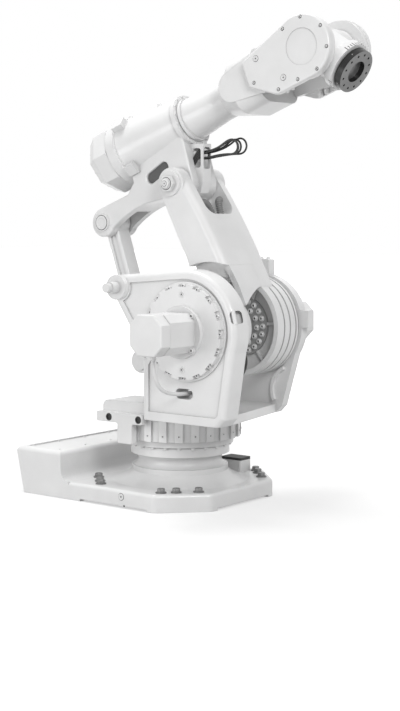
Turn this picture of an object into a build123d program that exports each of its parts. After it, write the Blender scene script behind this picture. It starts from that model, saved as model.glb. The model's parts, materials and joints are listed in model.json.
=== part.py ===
from build123d import *
import os
from math import atan2, cos, degrees, radians, sin, tan

os.makedirs("parts", exist_ok=True)

# An industrial robot arm with six axes and a parallel rod behind its lower arm, in millimetres.
# X points forward, Y to the left and Z up. The origin is on axis 1, on the underside of the base.

# Shared values
fit_gap = 0.3
run_gap = 5.0

# Arm lengths and the pose at rest, in degrees
axis_2_forward = 300.0
axis_2_height = 814.5
lower_arm_length = 700.0
axis_4_rise = 280.0
wrist_reach = 893.0
flange_reach = 200.0
crank_length = 512.0
lower_lean = 19.0
upper_angle = 21.0
wrist_angle = -32.0

# Base casting
base_front = 375.0
base_half_width = 425.0
base_cut = 190.0
base_plate_height = 82.0
base_corner_radius = 45.0
base_edge_radius = 16.0
flare_radius = 372.0
flare_middle_shares = (0.38, 0.24)
step_radius = 228.0
step_low = 128.0
step_top = 152.0
neck_radius = 198.0
neck_top = 211.0
neck_inset = 9.0
anchor_inset = 46.0
anchor_steps = (-94.0, -25.0, 77.0)
cut_angle = 45.0
anchor_hole_radius = 14.0
foot_height = 10.0
foot_depth = 40.0
foot_margin = 37.0
foot_rear = 259.0

# Connection box across the rear of the base
box_rear_bottom = 620.0
box_rear_top = 672.0
box_front_top = 380.0
box_foot_radius = 56.0
box_skirt_share = 0.9
box_height = 220.0
box_edge_radius = 22.0
box_rim = 42.0
lid_depth = 16.0
lid_gap = 1.5
lid_thickness = 11.0

# Small control box on the left of the base
control_box_length = 120.0
control_box_width = 84.0
control_box_height = 12.0
control_box_x = 95.0
control_box_inset = 107.0
control_box_radius = 8.0
control_pad_height = 56.0

# Slewing bearing
lower_ring_radius = 235.0
lower_ring_top = 254.0
spigot_radius = 206.0
spigot_drop = 20.0
slew_bottom = 259.0
slew_flange_radius = 254.0
slew_flange_height = 31.0
slew_radius = 290.0
slew_top = 400.0
slew_notch_count = 24
slew_notch_width = 37.0
slew_notch_depth = 10.0
slew_notch_rim = 12.0

# Rotating frame with its two cheeks
table_radius = 282.0
table_height = 40.0
deck_rear = 224.0
deck_height = 69.0
deck_half_width = 300.0
deck_edge_radius = 32.0
channel_half_width = 105.0
channel_rear = 150.0
channel_front = 30.0
cheek_inner = 235.0
right_cheek_outer = 335.0
left_cheek_outer = 280.0
right_cheek_radius = 275.0
left_cheek_radius = 238.0
cheek_rear_foot = 43.0
right_cheek_front_foot = 515.0
left_cheek_front_foot = 425.0
foot_chamfer = 34.0
cheek_edge_radius = 24.0
cheek_rim = 40.0
cheek_panel_depth = 8.0
gear_seat_margin = 9.0
stud_back = 390.0
stud_rise = 185.5
stud_boss_radius = 57.0
stud_boss_height = 26.0
stud_radius = 27.0
stud_length = 45.0
stud_head_radius = 21.0
stud_head_length = 24.0
trunnion_radius = 110.0
trunnion_length = 25.0
pocket_gap = 10.0
pocket_depth = 20.0
cable_hole_length = 97.0
cable_hole_height = 46.0
cable_hole_x = 285.0
cable_hole_z = 534.0
lift_hole_size = 58.0
lift_hole_radius = 16.0
lift_hole_depth = 52.0
lift_hole_turn = 15.8
lift_hole_inset = 25.0
tab_reach = 34.0
tab_height = 82.0
tab_rise = 33.0
rib_width = 16.0
rib_height = 14.0
rib_arc = ((141.0, -201.0), (76.0, -286.0), (87.0, -356.0))

bracket_length = 84.0
bracket_rise = 70.0
bracket_forward = 7.0
bracket_sink = 24.0
bracket_corner_radius = 9.0

# Gear covers and motors on both cheeks
gear_radius = 215.0
gear_thickness = 26.0
gear_notch_count = 16
gear_notch_depth = 13.0
gear_notch_width = 40.0
motor_flange_radius = 118.0
motor_flange_thickness = 22.0
motor_width = 176.0
motor_chamfer = 34.0
motor_length = 170.0
motor_cap_length = 62.0
motor_cap_chamfer = 44.0
motor_cap_growth = 5.0
motor_cap_radius = 7.0
motor_cable_radius = 9.0
motor_cable_back = 32.0
motor_cable_inset = 90.0
motor_cable_drop = 180.0
motor_cable_reach = 230.0

# Supply bracket at the rear right of the frame
supply_plate_rear = -232.0
supply_plate_low = 371.0
supply_plate_high = 418.0
supply_plate_thickness = 35.0
supply_column_front = -17.0
supply_column_rear = -104.0
supply_column_low = 278.0
supply_corner_radius = 9.0
supply_hole_radius = 14.0
supply_hole_depth = 22.0
supply_hole_places = (-156.0, 22.0)

# Lower arm
lower_half_width = 160.0
fork_inner = 100.0
lower_eye_radius = 74.0
recess_radius = 305.0
lower_front_radius = 34.0
hub_radius = 232.0
hub_near_face = 50.0
hub_bore_radius = 208.0
hub_floor = 105.0
hub_groove_places = (104.0, 150.0, 196.0)
hub_groove_width = 10.0
hub_groove_depth = 8.0
hub_shoulder = 214.0
hub_end_radius = 209.0
hub_plate_radius = 140.0
hub_plate_thickness = 14.0
hub_rib_count = 6
hub_rib_width = 14.0
hub_rib_height = 12.0
hub_rib_turn = -13.0
crotch_depth = 190.0
crotch_radius = 52.0
lower_rear_inset = 19.0
lower_rear_share = 0.48
lower_front_low = 192.0
lower_front_low_share = 0.2
lower_front_middle = 140.0
lower_front_middle_share = 0.645
elbow_pin_radius = 38.0
elbow_collar_radius = 58.0
elbow_collar_length = 12.0
elbow_nut_radius = 40.0
elbow_nut_length = 22.0
elbow_nut_sides = 6

# Parallel arm, which is the crank beside the lower arm
crank_hub_radius = 150.0
crank_hub_left_face = -42.0
crank_eye_radius = 57.0
crank_web_radius = 92.0
crank_fork_inner = 50.0
crank_fork_outer = 84.0
crank_fork_depth = 92.0
crank_bridge_place = 372.0
crank_bridge_radius = 70.0
crank_pin_radius = 30.0
crank_pin_head = 12.0
crank_pin_head_radius = 44.0
crank_edge_radius = 8.0

# Parallel rod
rod_eye_radius = 62.0
rod_half_thickness = 44.0
rod_half_width = 38.0
rod_edge_radius = 9.0
rod_flute_depth = 8.0
rod_flute_half_width = 18.0
open_gap = 1.5

# Upper arm
upper_half_width = 94.0
upper_eye_radius = 78.0
upper_edge_radius = 9.0
lug_radius = 70.0
lug_slot_length = 190.0
lug_fork_inner = 50.0
housing_rear = -262.0
housing_front = 82.0
housing_rear_radius = 150.0
housing_front_radius = 118.0
front_ring_radius = 126.0
front_ring_length = 24.0
ear_count = 4
ear_turn = 45.0
ear_width = 56.0
ear_reach = 172.0
ear_length = 62.0
drum_radius = 162.0
drum_length = 56.0
drum_edge_radius = 8.0
cap_radius = 166.0
cap_sides = 8
cap_length = 84.0
cap_taper_length = 50.0
cap_taper = 30.0
slot_half_width = 26.0
slot_rear = (-152.0, 90.0)
slot_front = (-63.0, 107.0)
upper_front = (70.0, 178.0)
upper_front_radius = 20.0
lug_arch_share = 0.5
lug_arch_low = 12.0
lug_shoulder = 110.0
lug_shoulder_share = 0.62
lug_pin_head = 10.0

# Upright front wall of the upper arm, from the elbow, with its windows for the cables
front_wall_rear = 20.0
front_wall_front = 104.0
front_wall_high = 186.0
front_wall_low = 10.0
front_wall_foot = (88.0, -45.0)
front_wall_root = -70.0
front_wall_right = 50.0
front_wall_left = 12.0
window_rear = 42.0
window_front = 90.0
window_low = 70.0
window_high = 170.0
window_margin = 8.0
window_radius = 12.0
side_window_inset = 5.0

# Forearm with the wrist fork
forearm_flange_radius = 108.0
forearm_flange_length = 18.0
forearm_root_radius = 101.0
forearm_neck_radius = 84.0
forearm_neck_place = 300.0
forearm_neck_end = 352.0
axis_4_shaft_radius = 70.0
axis_4_shaft_length = 60.0
wrist_body_place = 470.0
wrist_body_end = 610.0
wrist_body_half_height = 128.0
wrist_body_radius = 70.0
neck_round_share = 0.98
wrist_half_width = 148.0
wrist_fork_inner = 120.0
wrist_end_radius = 138.0
wrist_beam_half_height = 70.0
wrist_bearing_radius = 62.0
cover_thickness = 26.0
cover_radius = 142.0
cover_rear = 575.0
cover_corner_radius = 26.0
cover_rear_high = 46.0
cover_rear_low = 38.0
cover_belly_back = 173.0
cover_belly_low = 80.0
cover_belly_radius = 62.0
cover_dish_radius = 80.0
cover_dish_depth = 3.0
cover_edge_radius = 9.0

# Tilt housing and tool flange
tilt_half_width = 114.0
tilt_radius = 96.0
tilt_neck_radius = 98.0
tilt_ring_radius = 112.0
tilt_ring_start = 118.0
tilt_ring_end = 160.0
tool_thickness = 33.0
tool_radius = 100.0
tool_bore_radius = 50.0
tool_circle_radius = 80.0
tool_hole_count = 12
tool_hole_radius = 5.5
tool_hole_depth = 18.0
tool_bore_depth = 24.0
tool_spigot_radius = 60.0
tool_spigot_length = 20.0

# Cables that loop out of a clamp in the front wall: places from the elbow as forward, left and up
clamp_length = 24.0
clamp_width = 44.0
clamp_low = 104.0
clamp_high = 153.0
clamp_corner_radius = 6.0
cable_radius = 4.5
cable_bend_share = 0.45
cable_routes = {
    "cable_loop_1": (
        (112.0, -4.0, 143.0),
        (180.0, 2.0, 160.0),
        (222.0, 6.0, 181.0),
        (251.0, 9.0, 203.0),
        (279.0, 11.0, 209.0),
        (301.0, 12.0, 197.0),
        (311.0, 12.0, 172.0),
        (302.0, 11.0, 148.0),
        (279.0, 10.0, 135.0),
        (243.0, 7.0, 136.0),
        (190.0, 3.0, 131.0),
        (118.0, -4.0, 121.0),
    ),
    "cable_loop_2": (
        (110.0, -14.5, 147.0),
        (172.0, -10.0, 158.0),
        (204.0, -8.0, 175.0),
        (233.0, -6.0, 198.0),
        (259.0, -4.0, 204.0),
        (281.0, -3.0, 192.0),
        (290.0, -3.0, 169.0),
        (282.0, -4.0, 146.0),
        (260.0, -5.0, 134.0),
        (226.0, -8.0, 136.0),
        (180.0, -11.0, 130.0),
        (118.0, -14.5, 117.0),
    ),
    "cable_loop_3": (
        (110.0, -25.5, 149.0),
        (168.0, -25.0, 164.0),
        (202.0, -24.0, 183.0),
        (231.0, -24.0, 200.0),
        (257.0, -23.0, 203.0),
        (277.0, -22.0, 191.0),
        (285.0, -22.0, 168.0),
        (277.0, -22.0, 146.0),
        (255.0, -23.0, 134.0),
        (221.0, -24.0, 136.0),
        (176.0, -25.0, 131.0),
        (118.0, -25.5, 121.0),
    ),
    "cable_loop_4": (
        (110.0, -36.0, 142.0),
        (168.0, -39.0, 156.0),
        (214.0, -42.0, 177.0),
        (248.0, -43.0, 196.5),
        (284.0, -44.0, 197.0),
        (303.0, -44.0, 178.5),
        (303.0, -44.0, 151.5),
        (284.0, -44.0, 133.0),
        (240.0, -43.0, 135.0),
        (180.0, -40.0, 131.0),
        (118.0, -36.0, 120.0),
    ),
}


def place(origin, angle, along, across):
    """The X and Z of a point given along and across a direction that starts at origin."""
    x = origin[0] + along * cos(radians(angle)) - across * sin(radians(angle))
    z = origin[1] + along * sin(radians(angle)) + across * cos(radians(angle))
    return x, z


def side_plane(origin, angle, y):
    """A plane seen from the right side, at a depth y, with its x direction at an angle."""
    return Plane(
        origin=(origin[0], y, origin[1]),
        x_dir=(cos(radians(angle)), 0, sin(radians(angle))),
        z_dir=(0, -1, 0),
    )


def end_plane(origin, angle, along, across):
    """A plane square to a direction in the arm's own plane, with its x direction to the right."""
    x, z = place(origin, angle, along, across)
    return Plane(
        origin=(x, 0, z),
        x_dir=(0, -1, 0),
        z_dir=(cos(radians(angle)), 0, sin(radians(angle))),
    )


def outward_plane(origin, y):
    """A plane on one side of the arm, facing away from the middle."""
    facing = 1 if y > 0 else -1
    return Plane(origin=(origin[0], y, origin[1]), x_dir=(1, 0, 0), z_dir=(0, facing, 0))


def hull(*circles):
    """The outline around several circles, each given as x, y and radius."""
    with BuildSketch() as outline:
        for x, y, radius in circles:
            with Locations((x, y)):
                Circle(radius)
        make_hull()
    return outline.sketch


def edges_at(piece, y):
    """The edges of a piece that lie on its side face at depth y."""
    return piece.edges().filter_by_position(Axis.Y, y - fit_gap, y + fit_gap)


def write(piece, name):
    piece.part.label = name
    export_step(piece.part, f"parts/{name}.step")


# Pivots in the arm's plane, as X and Z
shoulder = (axis_2_forward, axis_2_height)
elbow = place(shoulder, lower_lean, 0, lower_arm_length)
lug_pivot = place(elbow, upper_angle, -crank_length, 0)
crank_pivot = place(shoulder, upper_angle, -crank_length, 0)
wrist = place(elbow, upper_angle, wrist_reach, axis_4_rise)

# Base casting: a plate with cut corners, a flared neck and the rear box in one piece
cut_middle_x = base_front - base_cut / 2
cut_middle_y = base_half_width - base_cut / 2
anchor_places = []
for anchor_step in anchor_steps:
    anchor_x = cut_middle_x + (anchor_step - anchor_inset) * cos(radians(cut_angle))
    anchor_y = cut_middle_y - (anchor_step + anchor_inset) * sin(radians(cut_angle))
    for turned_x in (-anchor_x, anchor_x):
        anchor_places.append((turned_x, -anchor_y))
        anchor_places.append((turned_x, anchor_y))
box_lid_rear = box_rear_top - box_rim
box_lid_front = box_front_top + box_rim
box_lid_half = base_half_width - box_rim
control_box_y = base_half_width - control_box_inset
side_notch_front = base_front - base_cut - foot_margin
front_notch_half = base_half_width - base_cut - foot_margin

with BuildPart() as base_casting:
    with BuildSketch():
        with BuildLine():
            Polyline(
                (-box_front_top, -base_half_width),
                (base_front - base_cut, -base_half_width),
                (base_front, base_cut - base_half_width),
                (base_front, base_half_width - base_cut),
                (base_front - base_cut, base_half_width),
                (-box_front_top, base_half_width),
                close=True,
            )
        make_face()
    extrude(amount=base_plate_height)
    front_corners = base_casting.edges().filter_by(Axis.Z).filter_by_position(Axis.X, 0, base_front)
    fillet(front_corners, base_corner_radius)
    fillet(base_casting.faces().sort_by(Axis.Z)[-1].edges().sort_by(Axis.X)[1:], base_edge_radius)
    with BuildSketch():
        with Locations(
            ((side_notch_front - foot_rear) / 2, -base_half_width),
            ((side_notch_front - foot_rear) / 2, base_half_width),
        ):
            Rectangle(side_notch_front + foot_rear, foot_depth * 2)
        with Locations((base_front, 0)):
            Rectangle(foot_depth * 2, front_notch_half * 2)
    extrude(amount=foot_height, mode=Mode.SUBTRACT)
    with BuildSketch(Plane.XZ):
        with BuildLine():
            foot = Line((0, foot_height), (flare_radius, foot_height))
            rim = Line(foot @ 1, (flare_radius, base_plate_height))
            flare = ThreePointArc(
                rim @ 1,
                (
                    step_radius + (flare_radius - step_radius) * flare_middle_shares[0],
                    base_plate_height + (step_low - base_plate_height) * flare_middle_shares[1],
                ),
                (step_radius, step_low),
            )
            step = Polyline(flare @ 1, (step_radius, step_top), (step_radius - neck_inset, step_top))
            neck = ThreePointArc(
                step @ 1,
                (neck_radius, (step_top + neck_top) / 2),
                (step_radius - neck_inset, neck_top),
            )
            Polyline(neck @ 1, (0, neck_top), foot @ 0)
        make_face()
    revolve(axis=Axis.Z)
    with BuildSketch():
        with Locations((control_box_x, control_box_y)):
            RectangleRounded(control_box_length, control_box_width, control_box_radius)
    extrude(amount=base_plate_height + control_pad_height)
    with BuildSketch():
        with Locations((control_box_x, control_box_y)):
            RectangleRounded(control_box_length, control_box_width, control_box_radius)
    extrude(amount=foot_height, mode=Mode.SUBTRACT)
    with BuildSketch(Plane.XZ.offset(-base_half_width)):
        with BuildLine():
            rear = Polyline((-box_rear_bottom, 0), (-box_rear_top, box_height), (-box_front_top, box_height))
            drop = Line(rear @ 1, (-box_front_top, base_plate_height + box_foot_radius))
            skirt = TangentArc(
                drop @ 1,
                (box_foot_radius * box_skirt_share - box_front_top, base_plate_height),
                tangent=drop % 1,
            )
            Polyline(skirt @ 1, (box_foot_radius * box_skirt_share - box_front_top, 0), rear @ 0)
        make_face()
    extrude(amount=base_half_width * 2)
    fillet(base_casting.faces().sort_by(Axis.Z)[-1].edges(), box_edge_radius)
    with BuildSketch(Plane.XY.offset(box_height)):
        with Locations(((-box_lid_rear - box_lid_front) / 2, 0)):
            Rectangle(box_lid_rear - box_lid_front, box_lid_half * 2)
    extrude(amount=-lid_depth, mode=Mode.SUBTRACT)
    with BuildSketch():
        with Locations(*anchor_places):
            Circle(anchor_hole_radius)
    extrude(amount=base_plate_height + box_foot_radius, mode=Mode.SUBTRACT)
write(base_casting, "base_casting")

with BuildPart() as connection_box_lid:
    with BuildSketch(Plane.XY.offset(box_height - lid_depth)):
        with Locations(((-box_lid_rear - box_lid_front) / 2, 0)):
            Rectangle(box_lid_rear - box_lid_front - lid_gap * 2, (box_lid_half - lid_gap) * 2)
    extrude(amount=lid_thickness)
write(connection_box_lid, "connection_box_lid")

with BuildPart() as control_box:
    with BuildSketch(Plane.XY.offset(base_plate_height + control_pad_height)):
        with Locations((control_box_x, control_box_y)):
            RectangleRounded(control_box_length, control_box_width, control_box_radius)
    extrude(amount=control_box_height)
write(control_box, "control_box")

# Slewing bearing: the fixed ring carries the turning ring on its spigot
with BuildPart() as bearing_ring:
    with BuildSketch(Plane.XY.offset(neck_top)):
        Circle(lower_ring_radius)
    extrude(amount=lower_ring_top - neck_top)
    with BuildSketch(Plane.XY.offset(lower_ring_top)):
        Circle(spigot_radius)
    extrude(amount=slew_top - spigot_drop - lower_ring_top)
write(bearing_ring, "bearing_ring")

slew_block_bottom = slew_bottom + slew_flange_height
with BuildPart() as slewing_ring:
    with BuildSketch(Plane.XY.offset(slew_bottom)):
        Circle(slew_flange_radius)
    extrude(amount=slew_flange_height)
    with BuildSketch(Plane.XY.offset(slew_block_bottom)):
        Circle(slew_radius)
    extrude(amount=slew_top - slew_block_bottom)
    with BuildSketch(Plane.XY.offset(slew_block_bottom)):
        with PolarLocations(slew_radius, slew_notch_count):
            Rectangle(slew_notch_depth * 2, slew_notch_width)
    extrude(amount=slew_top - slew_block_bottom - slew_notch_rim, mode=Mode.SUBTRACT)
    with BuildSketch(Plane.XY.offset(slew_bottom)):
        Circle(spigot_radius + fit_gap)
    extrude(amount=slew_top, mode=Mode.SUBTRACT)
write(slewing_ring, "slewing_ring")

# Rotating frame: a round table with a rear deck, and two cheeks with a stud corner each
stud_place = (axis_2_forward - stud_back, axis_2_height + stud_rise)


def cheek_outline(radius, front_foot):
    """A cheek seen from the side: a round head at axis 2, the stud corner and the foot."""
    with BuildSketch() as outline:
        add(hull((*shoulder, radius), (*stud_place, stud_boss_radius)))
        with BuildLine():
            Polyline(
                (cheek_rear_foot, slew_top),
                (front_foot - foot_chamfer, slew_top),
                (front_foot, slew_top + foot_chamfer),
                (axis_2_forward + radius, axis_2_height),
                (axis_2_forward, axis_2_height),
                (cheek_rear_foot, axis_2_height - radius / 2),
                close=True,
            )
        make_face()
    return outline.sketch


lift_cos = cos(radians(lift_hole_turn))
lift_sin = sin(radians(lift_hole_turn))
lift_hole_x, lift_hole_z = place(shoulder, lift_hole_turn, right_cheek_radius, 0)
lift_hole_plane = Plane(
    origin=(lift_hole_x, lift_hole_inset - right_cheek_outer, lift_hole_z),
    x_dir=(-lift_sin, 0, lift_cos),
    z_dir=(lift_cos, -1, lift_sin),
)
with BuildPart() as frame_casting:
    with BuildSketch(side_plane((0, 0), 0, -cheek_inner)):
        add(cheek_outline(right_cheek_radius, right_cheek_front_foot))
    extrude(amount=right_cheek_outer - cheek_inner)
    outer_edges = edges_at(frame_casting, -right_cheek_outer)
    fillet(outer_edges.filter_by_position(Axis.Z, slew_top + fit_gap, axis_2_height * 2), cheek_edge_radius)
    with BuildSketch(side_plane((0, 0), 0, -right_cheek_outer)):
        add(cheek_outline(right_cheek_radius, right_cheek_front_foot))
        offset(amount=-cheek_rim)
        with Locations(shoulder):
            Circle(gear_radius + gear_seat_margin, mode=Mode.SUBTRACT)
        with Locations(stud_place):
            Circle(stud_boss_radius + gear_seat_margin, mode=Mode.SUBTRACT)
    extrude(amount=-cheek_panel_depth, mode=Mode.SUBTRACT)
    with BuildSketch(side_plane((0, 0), 0, left_cheek_outer)):
        add(cheek_outline(left_cheek_radius, left_cheek_front_foot))
        with Locations((axis_2_forward + (left_cheek_radius + tab_reach) / 2, axis_2_height + tab_rise)):
            Rectangle(left_cheek_radius + tab_reach, tab_height)
        bracket_z = axis_2_height + left_cheek_radius + (bracket_rise - bracket_sink) / 2
        with Locations((axis_2_forward + bracket_forward, bracket_z)):
            RectangleRounded(bracket_length, bracket_rise + bracket_sink, bracket_corner_radius)
    extrude(amount=left_cheek_outer - cheek_inner)
    with BuildSketch(Plane.XY.offset(slew_top)):
        Circle(table_radius)
        with BuildLine():
            Polyline(
                (cheek_rear_foot, -cheek_inner),
                (right_cheek_front_foot - foot_chamfer, -cheek_inner),
                (left_cheek_front_foot - foot_chamfer, cheek_inner),
                (cheek_rear_foot, cheek_inner),
                close=True,
            )
        make_face()
    extrude(amount=table_height)
    with BuildSketch(side_plane((0, slew_top), 0, deck_half_width)) as deck_section:
        with Locations(((cheek_rear_foot - deck_rear) / 2, deck_height / 2)):
            Rectangle(deck_rear + cheek_rear_foot, deck_height)
        fillet(deck_section.vertices().sort_by(Axis.X)[:2].sort_by(Axis.Y)[-1], deck_edge_radius)
    extrude(amount=deck_half_width * 2)
    with BuildSketch(Plane.XY.offset(slew_top + table_height)):
        with Locations((cheek_rear_foot - deck_rear * 2, 0)):
            Rectangle(deck_rear * 4, channel_half_width * 2)
    extrude(amount=deck_height, mode=Mode.SUBTRACT)
    with BuildSketch(Plane.XY.offset(slew_top)):
        with Locations(((channel_front - channel_rear) / 2, 0)):
            Rectangle(channel_rear + channel_front, channel_half_width * 2)
    extrude(amount=table_height, mode=Mode.SUBTRACT)
    with BuildSketch(side_plane(shoulder, 0, cheek_inner + pocket_depth)):
        Circle(hub_end_radius + pocket_gap)
    extrude(amount=pocket_depth, mode=Mode.SUBTRACT)
    with BuildSketch(side_plane(shoulder, 0, left_cheek_outer)):
        Circle(trunnion_radius + fit_gap)
    extrude(amount=left_cheek_outer + right_cheek_outer, mode=Mode.SUBTRACT)
    with BuildSketch(side_plane((cable_hole_x, cable_hole_z), 0, -cheek_inner)):
        SlotOverall(cable_hole_length, cable_hole_height)
    extrude(amount=right_cheek_outer - cheek_inner, mode=Mode.SUBTRACT)
    with BuildSketch(lift_hole_plane.offset(lift_hole_size)):
        RectangleRounded(lift_hole_size, lift_hole_size, lift_hole_radius)
    extrude(amount=-lift_hole_size - lift_hole_depth, mode=Mode.SUBTRACT)
write(frame_casting, "frame_casting")

with BuildPart() as cheek_rib:
    with BuildSketch(side_plane(shoulder, 0, cheek_inner)):
        with BuildLine():
            ThreePointArc(*rib_arc)
        trace(line_width=rib_width)
    extrude(amount=rib_height)
write(cheek_rib, "cheek_rib")

# Gear covers, motors and studs, one of each on either cheek
for side, face in (("right", -right_cheek_outer), ("left", left_cheek_outer)):
    outward = 1 if face > 0 else -1
    with BuildPart() as gear_cover:
        with BuildSketch(outward_plane(shoulder, face)):
            Circle(gear_radius)
            with PolarLocations(gear_radius, gear_notch_count):
                Rectangle(gear_notch_depth * 2, gear_notch_width, mode=Mode.SUBTRACT)
        extrude(amount=gear_thickness)
        with BuildSketch(outward_plane(shoulder, face)):
            Circle(gear_radius - gear_notch_depth / 2)
        extrude(amount=gear_thickness / 2)
    write(gear_cover, f"gear_cover_{side}")

    motor_face = face + outward * gear_thickness
    body_face = motor_face + outward * motor_flange_thickness
    cap_face = body_face + outward * motor_length
    with BuildPart() as motor:
        with BuildSketch(outward_plane(shoulder, cap_face)) as cap_section:
            Rectangle(motor_width + motor_cap_growth, motor_width + motor_cap_growth)
            chamfer(cap_section.vertices(), motor_cap_chamfer)
        extrude(amount=motor_cap_length)
        fillet(edges_at(motor, cap_face + outward * motor_cap_length), motor_cap_radius)
        with BuildSketch(outward_plane(shoulder, motor_face)):
            Circle(motor_flange_radius)
        extrude(amount=motor_flange_thickness)
        with BuildSketch(outward_plane(shoulder, body_face)) as section:
            Rectangle(motor_width, motor_width)
            chamfer(section.vertices(), motor_chamfer)
        extrude(amount=motor_length)
    write(motor, f"motor_{side}")

    boss_face = face + outward * stud_boss_height
    tip_face = boss_face + outward * stud_length
    with BuildPart() as frame_stud:
        with BuildSketch(outward_plane(stud_place, face)):
            Circle(stud_boss_radius)
        extrude(amount=stud_boss_height)
        with BuildSketch(outward_plane(stud_place, boss_face)):
            Circle(stud_radius)
        extrude(amount=stud_length)
        with BuildSketch(outward_plane(stud_place, tip_face)):
            Circle(stud_head_radius)
        extrude(amount=stud_head_length)
    write(frame_stud, f"frame_stud_{side}")

# Cable from the underside of the right motor through the oblong hole
motor_reach = gear_thickness + motor_flange_thickness + motor_length + motor_cap_length
cable_top = (
    axis_2_forward - motor_cable_back,
    motor_cable_inset - right_cheek_outer - motor_reach,
    axis_2_height - motor_width / 2,
)
cable_end = (cable_hole_x, -cheek_inner, cable_hole_z)
with BuildPart() as motor_cable:
    with BuildLine():
        cable_line = Bezier(
            cable_top,
            (cable_top[0], cable_top[1], cable_top[2] - motor_cable_drop),
            (cable_end[0], cable_end[1] - motor_cable_reach, cable_end[2]),
            cable_end,
        )
    with BuildSketch(Plane(origin=cable_top, z_dir=cable_line % 0)):
        Circle(motor_cable_radius)
    sweep()
write(motor_cable, "motor_cable_right")

# Supply bracket beside the slewing ring
with BuildPart() as supply_bracket:
    with BuildSketch(side_plane((0, 0), 0, -deck_half_width)) as supply_section:
        with BuildLine():
            Polyline(
                (supply_plate_rear, supply_plate_low),
                (supply_column_rear, supply_plate_low),
                (supply_column_rear, supply_column_low),
                (supply_column_front, supply_column_low),
                (supply_column_front, supply_plate_low),
                (cheek_rear_foot, supply_plate_low),
                (cheek_rear_foot, supply_plate_high),
                (supply_plate_rear, supply_plate_high),
                close=True,
            )
        make_face()
        fillet(supply_section.vertices(), supply_corner_radius)
    extrude(amount=supply_plate_thickness)
    for hole_x in supply_hole_places:
        hole_place = (hole_x, (supply_plate_low + supply_plate_high) / 2)
        with BuildSketch(side_plane(hole_place, 0, -deck_half_width - supply_plate_thickness)):
            Circle(supply_hole_radius)
        extrude(amount=-supply_hole_depth, mode=Mode.SUBTRACT)
write(supply_bracket, "supply_bracket")


# Lower arm: a fork at the elbow, a bulged body and a cup around axis 2
def lower_outline():
    """The lower arm from the side, with axis 2 at zero and the arm along y."""
    with BuildSketch() as outline:
        with BuildLine():
            rear = Polyline(
                (-lower_eye_radius, lower_arm_length),
                (-lower_rear_inset, lower_arm_length * lower_rear_share),
                (-lower_rear_inset, 0),
            )
            bottom = Line(rear @ 1, (lower_front_low, 0))
            waist = Line(bottom @ 1, (lower_front_low, lower_arm_length * lower_front_low_share))
            front = ThreePointArc(
                waist @ 1,
                (lower_front_middle, lower_arm_length * lower_front_middle_share),
                (lower_eye_radius, lower_arm_length),
            )
            Line(front @ 1, rear @ 0)
        make_face()
        with Locations((0, lower_arm_length)):
            Circle(lower_eye_radius)
    return outline.sketch


hub_profile = [(hub_near_face, 0), (hub_near_face, hub_radius)]
for groove_place in hub_groove_places:
    hub_profile.append((groove_place - hub_groove_width / 2, hub_radius))
    hub_profile.append((groove_place - hub_groove_width / 2, hub_radius - hub_groove_depth))
    hub_profile.append((groove_place + hub_groove_width / 2, hub_radius - hub_groove_depth))
    hub_profile.append((groove_place + hub_groove_width / 2, hub_radius))
hub_profile.append((hub_shoulder, hub_radius))
hub_profile.append((hub_shoulder, hub_end_radius))
hub_profile.append((cheek_inner + pocket_depth / 2, hub_end_radius))
hub_profile.append((cheek_inner + pocket_depth / 2, trunnion_radius))
hub_profile.append((cheek_inner + trunnion_length, trunnion_radius))
hub_profile.append((cheek_inner + trunnion_length, 0))
hub_plane = Plane(origin=(shoulder[0], 0, shoulder[1]), x_dir=(0, 1, 0), z_dir=(1, 0, 0))
with BuildPart() as lower_arm_casting:
    with BuildSketch(side_plane(shoulder, lower_lean, lower_half_width)):
        add(lower_outline())
    extrude(amount=lower_half_width * 2)
    arm_front = lower_arm_casting.faces().filter_by(GeomType.CYLINDER).sort_by(SortBy.AREA)[-1]
    long_edges = arm_front.edges().filter_by(GeomType.CIRCLE)
    fillet(long_edges, lower_front_radius)
    with BuildSketch(side_plane(shoulder, lower_lean, hub_near_face)):
        Circle(recess_radius)
    extrude(amount=hub_near_face + lower_half_width, mode=Mode.SUBTRACT)
    with BuildSketch(hub_plane):
        with BuildLine():
            Polyline(*hub_profile, close=True)
        make_face()
    revolve(axis=Axis((shoulder[0], 0, shoulder[1]), (0, 1, 0)))
    with BuildSketch(side_plane(shoulder, lower_lean, hub_floor)):
        Circle(hub_bore_radius)
    extrude(amount=hub_floor - hub_near_face, mode=Mode.SUBTRACT)
    with BuildSketch(side_plane(shoulder, lower_lean + hub_rib_turn, hub_floor)):
        with PolarLocations((hub_plate_radius + hub_bore_radius) / 2, hub_rib_count):
            Rectangle(hub_bore_radius - hub_plate_radius + hub_rib_width, hub_rib_width)
    extrude(amount=hub_rib_height)
    with BuildSketch(side_plane(shoulder, lower_lean, hub_floor)):
        Circle(hub_plate_radius)
    extrude(amount=hub_rib_height, mode=Mode.SUBTRACT)
    with BuildSketch(end_plane(elbow, lower_lean, 0, 0)):
        RectangleRounded(fork_inner * 2, crotch_depth * 2, crotch_radius)
    extrude(amount=lower_arm_length / 2, both=True, mode=Mode.SUBTRACT)
    with BuildSketch(side_plane(elbow, lower_lean, lower_half_width)):
        Circle(elbow_pin_radius + fit_gap)
    extrude(amount=lower_half_width * 2, mode=Mode.SUBTRACT)
write(lower_arm_casting, "lower_arm_casting")

with BuildPart() as lower_arm_hub:
    with BuildSketch(side_plane(shoulder, lower_lean, hub_floor)):
        Circle(hub_plate_radius)
    extrude(amount=hub_plate_thickness)
write(lower_arm_hub, "lower_arm_hub")

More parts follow.
